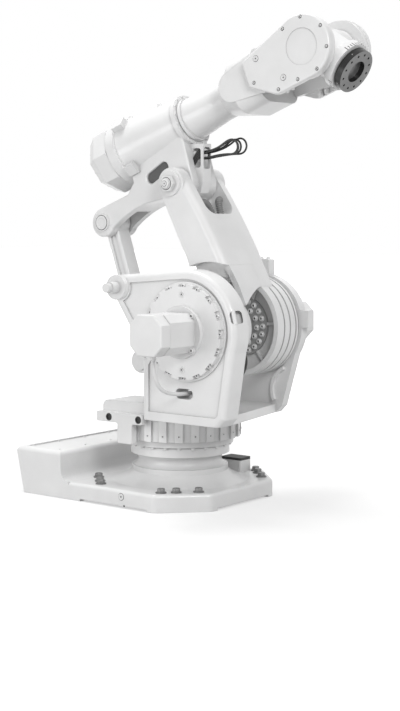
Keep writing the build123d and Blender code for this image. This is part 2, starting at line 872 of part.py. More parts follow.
with BuildPart() as elbow_pin:
    with BuildSketch(side_plane(elbow, lower_lean, 0)):
        Circle(elbow_pin_radius)
    extrude(amount=lower_half_width, both=True)
    for face in (-lower_half_width, lower_half_width):
        outward = 1 if face > 0 else -1
        with BuildSketch(outward_plane(elbow, face)):
            Circle(elbow_collar_radius)
        extrude(amount=elbow_collar_length)
        with BuildSketch(outward_plane(elbow, face + outward * elbow_collar_length)):
            RegularPolygon(elbow_nut_radius, elbow_nut_sides)
        extrude(amount=elbow_nut_length)
write(elbow_pin, "elbow_pin")

# Parallel arm: a hub beside the lower arm, a flat web and a fork for the rod
crank_end = (-crank_length, 0)
with BuildPart() as parallel_arm_casting:
    with BuildSketch(side_plane(shoulder, upper_angle, -crank_fork_inner)):
        add(hull((0, 0, crank_web_radius), (*crank_end, crank_eye_radius)))
    extrude(amount=crank_fork_outer - crank_fork_inner)
    fillet(edges_at(parallel_arm_casting, -crank_fork_outer), crank_edge_radius)
    with BuildSketch(side_plane(shoulder, upper_angle, crank_hub_left_face)):
        Circle(crank_hub_radius)
    extrude(amount=cheek_inner - run_gap + crank_hub_left_face)
    with BuildSketch(side_plane(shoulder, upper_angle, run_gap - cheek_inner)):
        Circle(trunnion_radius)
    extrude(amount=trunnion_length)
    with BuildSketch(side_plane(shoulder, upper_angle, crank_fork_outer)):
        add(hull((-crank_bridge_place, 0, crank_bridge_radius), (*crank_end, crank_eye_radius)))
    extrude(amount=crank_fork_outer + crank_fork_inner)
    with BuildSketch(side_plane(crank_pivot, upper_angle, crank_fork_inner)):
        with Locations((crank_fork_depth - crank_length / 2, 0)):
            Rectangle(crank_length, crank_length)
    extrude(amount=crank_fork_inner * 2, mode=Mode.SUBTRACT)
    with BuildSketch(side_plane(crank_pivot, upper_angle, crank_fork_outer)):
        Circle(crank_pin_radius + fit_gap)
    extrude(amount=crank_fork_outer * 2, mode=Mode.SUBTRACT)
write(parallel_arm_casting, "parallel_arm_casting")

with BuildPart() as crank_pin:
    with BuildSketch(side_plane(crank_pivot, upper_angle, 0)):
        Circle(crank_pin_radius)
    extrude(amount=crank_fork_outer, both=True)
    for face in (-crank_fork_outer, crank_fork_outer):
        with BuildSketch(outward_plane(crank_pivot, face)):
            Circle(crank_pin_head_radius)
        extrude(amount=crank_pin_head)
write(crank_pin, "crank_pin")

# Parallel rod, with an eye at each end and a flute along either side
with BuildPart() as parallel_rod:
    with BuildSketch(side_plane(crank_pivot, lower_lean, rod_half_thickness)):
        Circle(rod_eye_radius)
        with Locations((0, lower_arm_length)):
            Circle(rod_eye_radius)
        with Locations((0, lower_arm_length / 2)):
            Rectangle(rod_half_width * 2, lower_arm_length)
    extrude(amount=rod_half_thickness * 2)
    fillet(edges_at(parallel_rod, -rod_half_thickness), rod_edge_radius)
    fillet(edges_at(parallel_rod, rod_half_thickness), rod_edge_radius)
    for face in (-rod_half_thickness, rod_half_thickness):
        inward = 1 if face > 0 else -1
        with BuildSketch(side_plane(crank_pivot, lower_lean, face)):
            with Locations((0, lower_arm_length / 2)):
                SlotOverall(lower_arm_length - rod_eye_radius * 2, rod_flute_half_width * 2, rotation=90)
        extrude(amount=inward * rod_flute_depth, mode=Mode.SUBTRACT)
    with BuildSketch(side_plane(crank_pivot, lower_lean, rod_half_thickness)):
        Circle(crank_pin_radius + fit_gap)
        with Locations((0, lower_arm_length)):
            Circle(crank_pin_radius + open_gap)
    extrude(amount=rod_half_thickness * 2, mode=Mode.SUBTRACT)
write(parallel_rod, "parallel_rod")

# Upper arm: a flat-sided body on the elbow, a rear lug fork and the axis 4 housing
slot_run = (slot_front[0] - slot_rear[0], slot_front[1] - slot_rear[1])
slot_turn = degrees(atan2(slot_run[1], slot_run[0]))
front_wall_width = front_wall_left + front_wall_right
window_middle = (window_low + window_high) / 2
side_window_height = window_high - window_low - side_window_inset * 2
with BuildPart() as upper_arm_casting:
    with BuildSketch(side_plane(elbow, upper_angle, upper_half_width)):
        with BuildLine():
            belly = Spline(
                (-crank_length, -lug_radius),
                (-crank_length * lug_arch_share, -lug_arch_low),
                (0, -upper_eye_radius),
            )
            Polyline(
                belly @ 1,
                (housing_front - upper_front_radius, axis_4_rise),
                (housing_rear, axis_4_rise),
                (housing_rear, lug_shoulder),
                (-crank_length * lug_shoulder_share, lug_radius),
                (-crank_length, lug_radius),
                belly @ 0,
            )
        make_face()
        add(
            hull(
                (0, 0, upper_eye_radius),
                (*upper_front, upper_front_radius),
                (housing_front - upper_front_radius, axis_4_rise - upper_front_radius, upper_front_radius),
            )
        )
        with Locations((-crank_length, 0)):
            Circle(lug_radius)
        slot_middle = ((slot_rear[0] + slot_front[0]) / 2, (slot_rear[1] + slot_front[1]) / 2)
        slot_length = (slot_run[0] ** 2 + slot_run[1] ** 2) ** (1 / 2)
        with Locations(slot_middle):
            SlotCenterToCenter(slot_length, slot_half_width * 2, rotation=slot_turn, mode=Mode.SUBTRACT)
    extrude(amount=upper_half_width * 2)
    fillet(edges_at(upper_arm_casting, -upper_half_width), upper_edge_radius)
    fillet(edges_at(upper_arm_casting, upper_half_width), upper_edge_radius)
    with BuildSketch(end_plane(elbow, upper_angle, housing_rear, axis_4_rise)):
        Circle(housing_rear_radius)
    with BuildSketch(end_plane(elbow, upper_angle, housing_front, axis_4_rise)):
        Circle(housing_front_radius)
    loft()
    with BuildSketch(end_plane(elbow, upper_angle, housing_rear, axis_4_rise)):
        with PolarLocations(ear_reach / 2, ear_count, start_angle=ear_turn):
            Rectangle(ear_reach, ear_width)
    extrude(amount=ear_length)
    with BuildSketch(end_plane(elbow, upper_angle, housing_front, axis_4_rise)):
        Circle(front_ring_radius)
    extrude(amount=front_ring_length)
    with BuildSketch(side_plane(elbow, 0, front_wall_left)):
        with BuildLine():
            Polyline(
                (front_wall_rear, front_wall_high),
                (front_wall_front, front_wall_high),
                (front_wall_front, front_wall_low),
                front_wall_foot,
                (front_wall_rear, front_wall_root),
                close=True,
            )
        make_face()
    extrude(amount=front_wall_width)
    with BuildSketch(side_plane(elbow, 0, front_wall_left)):
        with Locations(((window_rear + window_front) / 2, window_middle)):
            RectangleRounded(window_front - window_rear, side_window_height, window_radius)
    extrude(amount=front_wall_width, mode=Mode.SUBTRACT)
    with BuildSketch(end_plane(elbow, 0, front_wall_front, window_middle)):
        with Locations((front_wall_right - front_wall_width / 2, 0)):
            window_width = front_wall_width - window_margin * 2
            RectangleRounded(window_width, window_high - window_low, window_radius)
    extrude(amount=window_rear + side_window_inset - front_wall_front, mode=Mode.SUBTRACT)
    with BuildSketch(end_plane(elbow, upper_angle, housing_front + front_ring_length, axis_4_rise)):
        Circle(axis_4_shaft_radius + fit_gap)
    extrude(amount=-axis_4_shaft_length - run_gap, mode=Mode.SUBTRACT)
    with BuildSketch(side_plane(elbow, upper_angle, upper_half_width)):
        Circle(elbow_pin_radius + fit_gap)
        with Locations((-crank_length, 0)):
            Circle(crank_pin_radius + fit_gap)
    extrude(amount=upper_half_width * 2, mode=Mode.SUBTRACT)
    with BuildSketch(side_plane(elbow, upper_angle, lug_fork_inner)):
        with Locations((lug_slot_length - crank_length * 3 / 2, 0)):
            Rectangle(crank_length, crank_length)
    extrude(amount=lug_fork_inner * 2, mode=Mode.SUBTRACT)
write(upper_arm_casting, "upper_arm_casting")

with BuildPart() as lug_pin:
    with BuildSketch(side_plane(lug_pivot, upper_angle, 0)):
        Circle(crank_pin_radius)
    extrude(amount=upper_half_width, both=True)
    for face in (-upper_half_width, upper_half_width):
        with BuildSketch(outward_plane(lug_pivot, face)):
            Circle(crank_pin_head_radius)
        extrude(amount=lug_pin_head)
write(lug_pin, "lug_pin")

drum_rear = housing_rear - drum_length
with BuildPart() as axis_4_drum:
    with BuildSketch(end_plane(elbow, upper_angle, housing_rear, axis_4_rise)):
        Circle(drum_radius)
    extrude(amount=-drum_length)
    fillet(axis_4_drum.faces().sort_by(Axis.X)[0].edges(), drum_edge_radius)
write(axis_4_drum, "axis_4_drum")

with BuildPart() as axis_4_end_cover:
    with BuildSketch(end_plane(elbow, upper_angle, drum_rear, axis_4_rise)):
        RegularPolygon(cap_radius, cap_sides)
    extrude(amount=-cap_length)
    with BuildSketch(end_plane(elbow, upper_angle, drum_rear - cap_length, axis_4_rise)):
        RegularPolygon(cap_radius, cap_sides)
    extrude(amount=-cap_taper_length, taper=cap_taper)
write(axis_4_end_cover, "axis_4_end_cover")

# Forearm: a tapering tube that opens into the wrist fork
forearm_start = housing_front + front_ring_length + run_gap
with BuildPart() as forearm_casting:
    with BuildSketch(end_plane(elbow, upper_angle, forearm_start, axis_4_rise)):
        Circle(axis_4_shaft_radius)
    extrude(amount=-axis_4_shaft_length)
    with BuildSketch(end_plane(elbow, upper_angle, forearm_start, axis_4_rise)):
        Circle(forearm_flange_radius)
    extrude(amount=forearm_flange_length)
    with BuildSketch(end_plane(elbow, upper_angle, forearm_start + forearm_flange_length, axis_4_rise)):
        Circle(forearm_root_radius)
    with BuildSketch(end_plane(elbow, upper_angle, forearm_neck_place, axis_4_rise)):
        Circle(forearm_neck_radius)
    loft()
    with BuildSketch(end_plane(elbow, upper_angle, forearm_neck_place, axis_4_rise)):
        Circle(forearm_neck_radius)
    extrude(amount=forearm_neck_end - forearm_neck_place)
    with BuildSketch(end_plane(elbow, upper_angle, forearm_neck_end, axis_4_rise)):
        neck_corner_radius = forearm_neck_radius * neck_round_share
        RectangleRounded(forearm_neck_radius * 2, forearm_neck_radius * 2, neck_corner_radius)
    with BuildSketch(end_plane(elbow, upper_angle, wrist_body_place, axis_4_rise)):
        RectangleRounded(wrist_half_width * 2, wrist_body_half_height * 2, wrist_body_radius)
    loft()
    with BuildSketch(end_plane(elbow, upper_angle, wrist_body_place, axis_4_rise)):
        RectangleRounded(wrist_half_width * 2, wrist_body_half_height * 2, wrist_body_radius)
    extrude(amount=wrist_body_end - wrist_body_place)
    with BuildSketch(side_plane(wrist, upper_angle, wrist_half_width)):
        add(hull((0, 0, wrist_end_radius), (wrist_body_place - wrist_reach, 0, wrist_beam_half_height)))
    extrude(amount=wrist_half_width * 2)
    with BuildSketch(side_plane(wrist, upper_angle, wrist_fork_inner)):
        Rectangle((wrist_reach - wrist_body_end) * 2, axis_4_rise * 2)
    extrude(amount=wrist_fork_inner * 2, mode=Mode.SUBTRACT)
    with BuildSketch(side_plane(wrist, upper_angle, wrist_half_width)):
        Circle(wrist_bearing_radius + fit_gap)
    extrude(amount=wrist_half_width * 2, mode=Mode.SUBTRACT)
write(forearm_casting, "forearm_casting")

for side, facing in (("right", -1), ("left", 1)):
    cover_face = facing * (wrist_half_width + cover_thickness)
    with BuildPart() as wrist_cover:
        with BuildSketch(side_plane(wrist, upper_angle, cover_face)):
            add(
                hull(
                    (0, 0, cover_radius),
                    (cover_rear - wrist_reach + cover_corner_radius, cover_rear_high, cover_corner_radius),
                    (cover_rear - wrist_reach + cover_corner_radius, -cover_rear_low, cover_corner_radius),
                    (-cover_belly_back, -cover_belly_low, cover_belly_radius),
                )
            )
        extrude(amount=facing * cover_thickness)
        fillet(edges_at(wrist_cover, cover_face), cover_edge_radius)
        with BuildSketch(side_plane(wrist, upper_angle, cover_face)):
            Circle(cover_dish_radius)
        extrude(amount=facing * cover_dish_depth, mode=Mode.SUBTRACT)
    write(wrist_cover, f"wrist_cover_{side}")

# Tilt housing on the wrist trunnions, with its ring, and the tool flange
with BuildPart() as tilt_housing:
    with BuildSketch(side_plane(wrist, wrist_angle, 0)):
        Circle(tilt_radius)
    extrude(amount=tilt_half_width, both=True)
    with BuildSketch(side_plane(wrist, wrist_angle, 0)):
        Circle(wrist_bearing_radius)
    extrude(amount=wrist_half_width - run_gap, both=True)
    with BuildSketch(end_plane(wrist, wrist_angle, 0, 0)):
        Circle(tilt_neck_radius)
    extrude(amount=tilt_ring_start)
write(tilt_housing, "tilt_housing")

with BuildPart() as tilt_ring:
    with BuildSketch(end_plane(wrist, wrist_angle, tilt_ring_start, 0)):
        Circle(tilt_ring_radius)
        Circle(tool_spigot_radius + fit_gap, mode=Mode.SUBTRACT)
    extrude(amount=tilt_ring_end - tilt_ring_start)
write(tilt_ring, "tilt_ring")

with BuildPart() as tool_flange:
    with BuildSketch(end_plane(wrist, wrist_angle, flange_reach - tool_thickness, 0)):
        Circle(tool_radius)
    extrude(amount=tool_thickness)
    with BuildSketch(end_plane(wrist, wrist_angle, flange_reach - tool_thickness, 0)):
        Circle(tool_spigot_radius)
    extrude(amount=-tool_spigot_length)
    with BuildSketch(end_plane(wrist, wrist_angle, flange_reach, 0)):
        Circle(tool_bore_radius)
    extrude(amount=-tool_bore_depth, mode=Mode.SUBTRACT)
    with BuildSketch(end_plane(wrist, wrist_angle, flange_reach, 0)):
        with PolarLocations(tool_circle_radius, tool_hole_count):
            Circle(tool_hole_radius)
    extrude(amount=-tool_hole_depth, mode=Mode.SUBTRACT)
write(tool_flange, "tool_flange")


# Clamp in the front wall, and the cable loops that start and end at its face
clamp_front = window_rear + clamp_length
with BuildPart() as cable_clamp:
    with BuildSketch(end_plane(elbow, 0, window_rear, (clamp_low + clamp_high) / 2)):
        with Locations((front_wall_right - front_wall_width / 2, 0)):
            RectangleRounded(clamp_width, clamp_high - clamp_low, clamp_corner_radius)
    extrude(amount=clamp_length)
write(cable_clamp, "cable_clamp")


def bend_radii(points):
    """A radius for each inner point, so that the arcs leave part of every run straight."""
    radii = []
    for before, corner, after in zip(points, points[1:], points[2:]):
        run_in = Vector(*corner) - Vector(*before)
        run_out = Vector(*after) - Vector(*corner)
        half_turn = radians(run_in.get_angle(run_out)) / 2
        radii.append(cable_bend_share * min(run_in.length, run_out.length) / tan(half_turn))
    return radii


for name, route in cable_routes.items():
    stations = [(clamp_front, *route[0][1:]), *route, (clamp_front, *route[-1][1:])]
    cable_points = [(elbow[0] + ahead, left, elbow[1] + up) for ahead, left, up in stations]
    with BuildPart() as cable_loop:
        with BuildLine():
            loop_line = FilletPolyline(*cable_points, radius=bend_radii(cable_points))
        with BuildSketch(Plane(origin=cable_points[0], z_dir=loop_line % 0)):
            Circle(cable_radius)
        sweep()
    write(cable_loop, name)
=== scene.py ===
import json
import math

import bmesh
import bpy
from mathutils import Matrix, Vector


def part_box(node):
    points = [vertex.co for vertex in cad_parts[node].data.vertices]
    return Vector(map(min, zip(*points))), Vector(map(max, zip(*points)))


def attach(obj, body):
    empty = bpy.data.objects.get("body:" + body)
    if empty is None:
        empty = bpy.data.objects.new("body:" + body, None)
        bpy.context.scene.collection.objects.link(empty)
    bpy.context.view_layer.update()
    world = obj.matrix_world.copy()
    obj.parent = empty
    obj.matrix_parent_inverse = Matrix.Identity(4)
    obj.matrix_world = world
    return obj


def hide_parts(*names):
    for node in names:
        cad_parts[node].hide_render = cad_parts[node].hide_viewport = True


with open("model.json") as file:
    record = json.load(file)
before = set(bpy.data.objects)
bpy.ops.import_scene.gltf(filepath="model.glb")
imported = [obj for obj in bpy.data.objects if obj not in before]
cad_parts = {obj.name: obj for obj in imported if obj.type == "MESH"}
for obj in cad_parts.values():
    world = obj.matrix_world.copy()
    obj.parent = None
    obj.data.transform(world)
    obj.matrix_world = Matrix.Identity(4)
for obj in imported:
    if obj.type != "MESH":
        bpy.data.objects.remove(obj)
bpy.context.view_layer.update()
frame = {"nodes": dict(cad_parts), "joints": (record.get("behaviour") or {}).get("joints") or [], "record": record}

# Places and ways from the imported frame, in metres
joints = {joint["name"]: joint for joint in frame["joints"]}
mounts = {mount["name"]: mount for mount in frame["record"]["mounts"]}
SHOULDER = Vector(joints["axis_2"]["pos_m"])
ELBOW = Vector(joints["axis_3"]["pos_m"])
HOUSING = Vector(joints["axis_4"]["pos_m"])
WRIST = Vector(joints["axis_5"]["pos_m"])
TOOL = Vector(joints["axis_6"]["pos_m"])
CRANK = Vector(joints["parallel_rod_turn"]["pos_m"])
LUG = CRANK + ELBOW - SHOULDER
LOWER_WAY = (ELBOW - SHOULDER).normalized()
UPPER_WAY = Vector(joints["axis_4"]["axis"])
TOOL_WAY = Vector(joints["axis_6"]["axis"])

# The frame's own ways, and each side with its corner in a node's box and its outward way
FORWARD, LEFT, UP = Vector((1, 0, 0)), Vector((0, 1, 0)), Vector((0, 0, 1))
RIGHT, DOWN = -LEFT, -UP
SIDES = (("right", 0, RIGHT), ("left", 1, LEFT))

# The added details are in millimetres. Materials, the cables' diameter and the stage are in metres.
MM = 0.001


def node_material(name):
    """A new material with its node tree, and its shader."""
    material = bpy.data.materials.new(name)
    material.use_nodes = True
    tree = material.node_tree
    return material, tree, tree.nodes["Principled BSDF"]


def add_node(tree, kind, **values):
    """A node with some of its inputs set by name."""
    node = tree.nodes.new(kind)
    for key, value in values.items():
        node.inputs[key.replace("_", " ")].default_value = value
    return node


def noise(tree, scale, detail=4.0):
    """A noise value over the object's own coordinates."""
    coordinates = tree.nodes.new("ShaderNodeTexCoord")
    node = add_node(tree, "ShaderNodeTexNoise", Scale=scale, Detail=detail)
    tree.links.new(coordinates.outputs["Object"], node.inputs["Vector"])
    return node.outputs["Fac"]


PATCH_RANGE = (0.3, 0.7)


def patchy(tree, value, dark, light):
    """A colour that wanders between a dark and a light one with a value."""
    node = tree.nodes.new("ShaderNodeValToRGB")
    for element, position, colour in zip(node.color_ramp.elements, PATCH_RANGE, (dark, light)):
        element.position = position
        element.color = (*colour, 1.0)
    tree.links.new(value, node.inputs["Fac"])
    return node.outputs["Color"]


def blend(tree, shader, share, first, second):
    """Joins two colours on the shader by a share from 0 to 1."""
    mix = tree.nodes.new("ShaderNodeMix")
    mix.data_type = "RGBA"
    tree.links.new(share, mix.inputs["Factor"])
    tree.links.new(first, mix.inputs["A"])
    tree.links.new(second, mix.inputs["B"])
    tree.links.new(mix.outputs["Result"], shader.inputs["Base Color"])


# Scale and detail of the noise that colour, gloss and grain follow
COLOUR_SCALE = 6.0
COLOUR_DETAIL = 6.0
SECOND_COLOUR_SCALE = 9.0
GLOSS_SCALE = 18.0
GRAIN_DETAIL = 2.0
GRAIN_HEIGHT = 0.001
COAT_ROUGHNESS = 0.12
RAY_SAMPLES = 6
# Reach of the occlusion mask that paints shade into a part's own hollows
PAINTED_SHADE_REACH = 0.16
FACE_COSINES = (0.90, 0.97)


def surface(
    name, dark, light, rough, metallic=0.0, coat=0.0, grain=900.0, grain_depth=0.03,
    round_edge=0.0, painted_hollow_shade=None,
):
    """A material whose colour, gloss and fine grain vary.

    Its edges are softly rounded, and where that is asked an occlusion mask darkens its hollows to a second colour,
    which is painted shade.
    """
    material, tree, shader = node_material(name)
    colour = patchy(tree, noise(tree, COLOUR_SCALE, COLOUR_DETAIL), dark, light)
    tree.links.new(colour, shader.inputs["Base Color"])
    # Painted shade: the colour turns to a darker grey in the part's own hollows and recesses
    if painted_hollow_shade:
        depth = add_node(tree, "ShaderNodeAmbientOcclusion", Distance=PAINTED_SHADE_REACH)
        depth.samples = RAY_SAMPLES
        depth.only_local = True
        painted_shade_colour = patchy(tree, noise(tree, SECOND_COLOUR_SCALE), *painted_hollow_shade)
        blend(tree, shader, depth.outputs["AO"], painted_shade_colour, colour)
    gloss = add_node(tree, "ShaderNodeMapRange", To_Min=rough[0], To_Max=rough[1])
    tree.links.new(noise(tree, GLOSS_SCALE), gloss.inputs["Value"])
    tree.links.new(gloss.outputs["Result"], shader.inputs["Roughness"])
    bump = add_node(tree, "ShaderNodeBump", Strength=grain_depth, Distance=GRAIN_HEIGHT)
    tree.links.new(noise(tree, grain, GRAIN_DETAIL), bump.inputs["Height"])
    if round_edge:
        edge = add_node(tree, "ShaderNodeBevel", Radius=round_edge)
        edge.samples = RAY_SAMPLES
        tree.links.new(edge.outputs["Normal"], bump.inputs["Normal"])
    tree.links.new(bump.outputs["Normal"], shader.inputs["Normal"])
    shader.inputs["Metallic"].default_value = metallic
    shader.inputs["Coat Weight"].default_value = coat
    shader.inputs["Coat Roughness"].default_value = COAT_ROUGHNESS
    return material


def faced(name, way, face_colours, **values):
    """A surface whose faces toward a way, in the part's own directions, have another colour."""
    material = surface(name, **values)
    tree = material.node_tree
    shader = tree.nodes["Principled BSDF"]
    around = shader.inputs["Base Color"].links[0].from_socket
    coordinates = tree.nodes.new("ShaderNodeTexCoord")
    dot = tree.nodes.new("ShaderNodeVectorMath")
    dot.operation = "DOT_PRODUCT"
    dot.inputs[1].default_value = way
    tree.links.new(coordinates.outputs["Normal"], dot.inputs[0])
    away, full = FACE_COSINES
    toward = add_node(tree, "ShaderNodeMapRange", From_Min=away, From_Max=full)
    tree.links.new(dot.outputs["Value"], toward.inputs["Value"])
    face_colour = patchy(tree, noise(tree, SECOND_COLOUR_SCALE), *face_colours)
    blend(tree, shader, toward.outputs["Result"], around, face_colour)
    return material


def grey(value):
    """A neutral colour."""
    return (value, value, value)


MATERIALS = {
    "white_paint": surface(
        "white_paint", grey(0.74), grey(0.80), (0.30, 0.46), coat=0.35, grain=420.0,
        # The darker greys in the white paint's hollows are painted shade
        grain_depth=0.05, round_edge=0.004, painted_hollow_shade=(grey(0.40), grey(0.46)),
    ),
    "black_plastic": surface(
        "black_plastic", grey(0.012), grey(0.022), (0.5, 0.65), round_edge=0.002,
    ),
    "black_cable": surface("black_cable", grey(0.006), grey(0.014), (0.34, 0.5), grain=1400.0),
    "white_cable": surface("white_cable", grey(0.70), grey(0.78), (0.30, 0.42), grain=1400.0),
    "zinc": surface(
        "zinc", grey(0.14), grey(0.24), (0.34, 0.52), metallic=0.7, grain=700.0, grain_depth=0.08,
    ),
    # A near-black grey that paints the shade inside the upper arm's oblong hole
    "painted_shade_plate": surface("painted_shade_plate", grey(0.075), grey(0.105), (0.55, 0.7)),
    # Partly the grey of the hub's plate, partly painted shade for its place deep in the arm's cup
    "hub_grey_and_painted_shade": surface("hub_grey_and_painted_shade", grey(0.30), grey(0.36), (0.40, 0.55), round_edge=0.003),
    "grey_hose": surface("grey_hose", grey(0.22), grey(0.30), (0.45, 0.6)),
    "flange_steel": faced(
        "flange_steel", TOOL_WAY, (grey(0.13), grey(0.17)), dark=grey(0.010), light=grey(0.018),
        rough=(0.24, 0.34), metallic=0.3, round_edge=0.002,
    ),
    "shadow": surface("shadow", grey(0.02), grey(0.035), (0.7, 0.85)),
}
NODE_MATERIALS = {"tool_flange": "flange_steel", "lower_arm_hub": "hub_grey_and_painted_shade"}


def dress_cad():
    """Gives every CAD node its own material, or that of its slot."""
    for part in frame["record"]["subparts"]:
        node = frame["nodes"][part["node"]]
        material = MATERIALS[NODE_MATERIALS.get(part["node"], part["material_slot"])]
        if not node.material_slots:
            node.data.materials.append(material)
        for place in node.material_slots:
            place.material = material


def facing(origin, normal, across=FORWARD):
    """A place whose Z points along normal, with its X as near as it can be to across."""
    z = Vector(normal).normalized()
    x = Vector(across)
    x = (x - z * z.dot(x)).normalized()
    turn = Matrix((x, z.cross(x), z)).transposed().to_4x4()
    return Matrix.Translation(Vector(origin)) @ turn


def along(origin, way):
    """A place in the arm's plane, with its X along the way, its Y to the left and its Z across."""
    x = Vector(way).normalized()
    turn = Matrix((x, LEFT, x.cross(LEFT))).transposed().to_4x4()
    return Matrix.Translation(Vector(origin)) @ turn


def on_side(pivot, y, outward):
    """A place on a cross axis through a pivot, at y, that looks outward."""
    return facing((pivot.x, y, pivot.z), outward)


def at(*place):
    """A place in metres, given in millimetres."""
    return Vector(place) * MM


def polar(place, radius, count, offset=0.0):
    """Places around a circle in the place's own plane, X outward, offset by part of a step."""
    for i in range(count):
        turn = Matrix.Rotation(math.tau * (i + offset) / count, 4, "Z")
        yield place @ turn @ Matrix.Translation((radius * MM, 0, 0))


# A place's Z turned outward, for what stands on the rim of a circle
OUTWARD = Matrix.Rotation(math.pi / 2, 4, "Y")


def ring(radius, height, count=24):
    """The points of a circle at a height."""
    turns = [math.tau * i / count for i in range(count)]
    return [(radius * math.cos(t), radius * math.sin(t), height) for t in turns]


def hexagon(radius, height, count=24):
    """The points of a hexagon of a corner radius, as many as a circle has."""
    points = []
    for i in range(count):
        turn = math.tau * i / count
        reach = radius * math.cos(math.pi / 6) / math.cos(turn % (math.pi / 3) - math.pi / 6)
        points.append((reach * math.cos(turn), reach * math.sin(turn), height))
    return points


# A piece's two materials: its own, and the shadow in its holes and grooves
OWN, DARK = 0, 1


def skin(shape, place, loops, end_material=OWN, side_material=OWN):
    """A closed form through loops of equal length, given in the place's own millimetres."""
    rows = [[shape.verts.new(place @ at(*point)) for point in loop] for loop in loops]
    for low, high in zip(rows, rows[1:]):
        for i in range(len(low)):
            k = (i + 1) % len(low)
            face = shape.faces.new((low[i], low[k], high[k], high[i]))
            face.material_index = side_material
    shape.faces.new(reversed(rows[0])).material_index = side_material
    shape.faces.new(rows[-1]).material_index = end_material


def turned(shape, place, profile, count=32, end_material=OWN, side_material=OWN):
    """A turned form through a profile of radius and height."""
    loops = [ring(radius, height, count) for radius, height in profile]
    skin(shape, place, loops, end_material, side_material)


def block(shape, place, low, high, edge):
    """A box between two corners, with its top edges chamfered."""
    loops = []
    for inset, height in ((0.0, low[2]), (0.0, high[2] - edge), (edge, high[2])):
        x0, y0, x1, y1 = low[0] + inset, low[1] + inset, high[0] - inset, high[1] - inset
        loops.append([(x0, y0, height), (x1, y0, height), (x1, y1, height), (x0, y1, height)])
    skin(shape, place, loops)


def swept(shape, points, radii, count=20):
    """A closed tube along points in metres, with a radius at each of them."""
    loops = []
    for i, point in enumerate(points):
        way = points[min(i + 1, len(points) - 1)] - points[max(i - 1, 0)]
        place = facing(point, way, LEFT)
        loops.append([place @ at(*spot) / MM for spot in ring(radii[i], 0, count)])
    skin(shape, Matrix.Identity(4), loops)


def tube(shape, points, radius, count=20):
    """A closed tube of one radius along points in metres."""
    swept(shape, points, [radius] * len(points), count)


RIB_STATIONS = 4


def corrugated(shape, points, radius, depth, pitch):
    """A ribbed hose along a smooth line of points in metres."""
    length = sum((b - a).length for a, b in zip(points, points[1:])) / MM
    steps = max(int(length / pitch), 2) * RIB_STATIONS
    stations, radii = [], []
    for i in range(steps + 1):
        reach = length * i / steps
        for a, b in zip(points, points[1:]):
            run = (b - a).length / MM
            if reach <= run:
                break
            reach -= run
        stations.append(a.lerp(b, min(reach / run, 1.0)))
        in_groove = i % RIB_STATIONS in (0, RIB_STATIONS - 1)
        radii.append(radius - depth if in_groove else radius)
    swept(shape, stations, radii)


def bend(points, steps=24):
    """A smooth line over four control points."""
    a, b, c, d = points
    line = []
    for i in range(steps + 1):
        t = i / steps
        near = a * (1 - t) ** 3 + b * 3 * t * (1 - t) ** 2
        line.append(near + c * 3 * t * t * (1 - t) + d * t**3)
    return line


# Fasteners start by SINK inside the surface that they stand on. Here and below, the profile of a
# turned detail is pairs of radius and height.
SINK = 1.0
HEAD_CHAMFER = 0.14
WASHER_CHAMFER = 0.8
DISC_EDGE, DISC_TOP = 0.3, 0.4


def socket_bolt(shape, place, radius, height):
    """A cylinder head with a chamfer and a hexagon socket that shows dark."""
    edge = radius * HEAD_CHAMFER
    loops = [ring(radius, -SINK), ring(radius, height - edge), ring(radius - edge, height)]
    loops += [hexagon(radius * 0.56, height), hexagon(radius * 0.54, height * 0.45)]
    skin(shape, place, loops, DARK)


def hex_bolt(shape, place, radius, height, washer):
    """A hexagon head on its washer, which is a radius and a height."""
    washer_radius, washer_height = washer
    top = washer_height + height
    loops = [ring(washer_radius, -SINK), ring(washer_radius, washer_height - WASHER_CHAMFER)]
    loops += [ring(washer_radius - WASHER_CHAMFER, washer_height), hexagon(radius, washer_height)]
    loops += [hexagon(radius, top - height * HEAD_CHAMFER), ring(radius * 0.82, top)]
    skin(shape, place, loops)


def dark_disc(shape, place, radius, top_radius, count=32):
    """A thin dark disc, which shows as a groove or counterbore around what stands on it."""
    profile = [(radius, -SINK), (radius, DISC_EDGE), (top_radius, DISC_TOP)]
    turned(shape, place, profile, count, DARK, DARK)


def ring_plug(shape, place, radius, height):
    """A round plug in a dark groove, with a raised rim and a dark hole in its dished middle."""
    dark_disc(shape, place, radius * 1.14, radius)
    profile = [(radius, -SINK), (radius, height * 0.7), (radius * 0.94, height)]
    profile += [(radius * 0.72, height), (radius * 0.64, height * 0.5)]
    profile += [(radius * 0.28, height * 0.5), (radius * 0.26, 0.6)]
    turned(shape, place, profile, end_material=DARK)


def seated_screw(shape, place, radius, height):
    """A socket screw standing in a dark counterbore."""
    dark_disc(shape, place, radius * 1.55, radius * 1.2, count=24)
    socket_bolt(shape, place, radius, height)


def gland(shape, place, radius, length):
    """A cable gland: a hexagon body, a collar and a domed nut."""
    body, nut = radius * 1.25, radius * 1.15
    loops = [hexagon(body, -2), hexagon(body, length * 0.3), ring(radius, length * 0.32)]
    loops += [ring(radius, length * 0.45), hexagon(nut, length * 0.47)]
    loops += [hexagon(nut, length * 0.75), ring(radius * 0.95, length * 0.8)]
    loops += [ring(radius * 0.7, length)]
    skin(shape, place, loops)


MERGE_DISTANCE = 0.000005
SHARP_EDGE = math.radians(32)


def piece(name, shape, body, slot, material=None):
    """A mesh piece that rides on a body, smooth apart from its sharp edges."""
    bmesh.ops.remove_doubles(shape, verts=shape.verts, dist=MERGE_DISTANCE)
    bmesh.ops.recalc_face_normals(shape, faces=shape.faces)
    for face in shape.faces:
        face.smooth = True
    for edge in shape.edges:
        edge.smooth = edge.calc_face_angle(0.0) < SHARP_EDGE
    mesh = bpy.data.meshes.new(name)
    shape.to_mesh(mesh)
    shape.free()
    mesh.materials.append(MATERIALS[material or slot])
    mesh.materials.append(MATERIALS["shadow"])
    made = bpy.data.objects.new(name, mesh)
    bpy.context.scene.collection.objects.link(made)
    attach(made, body)


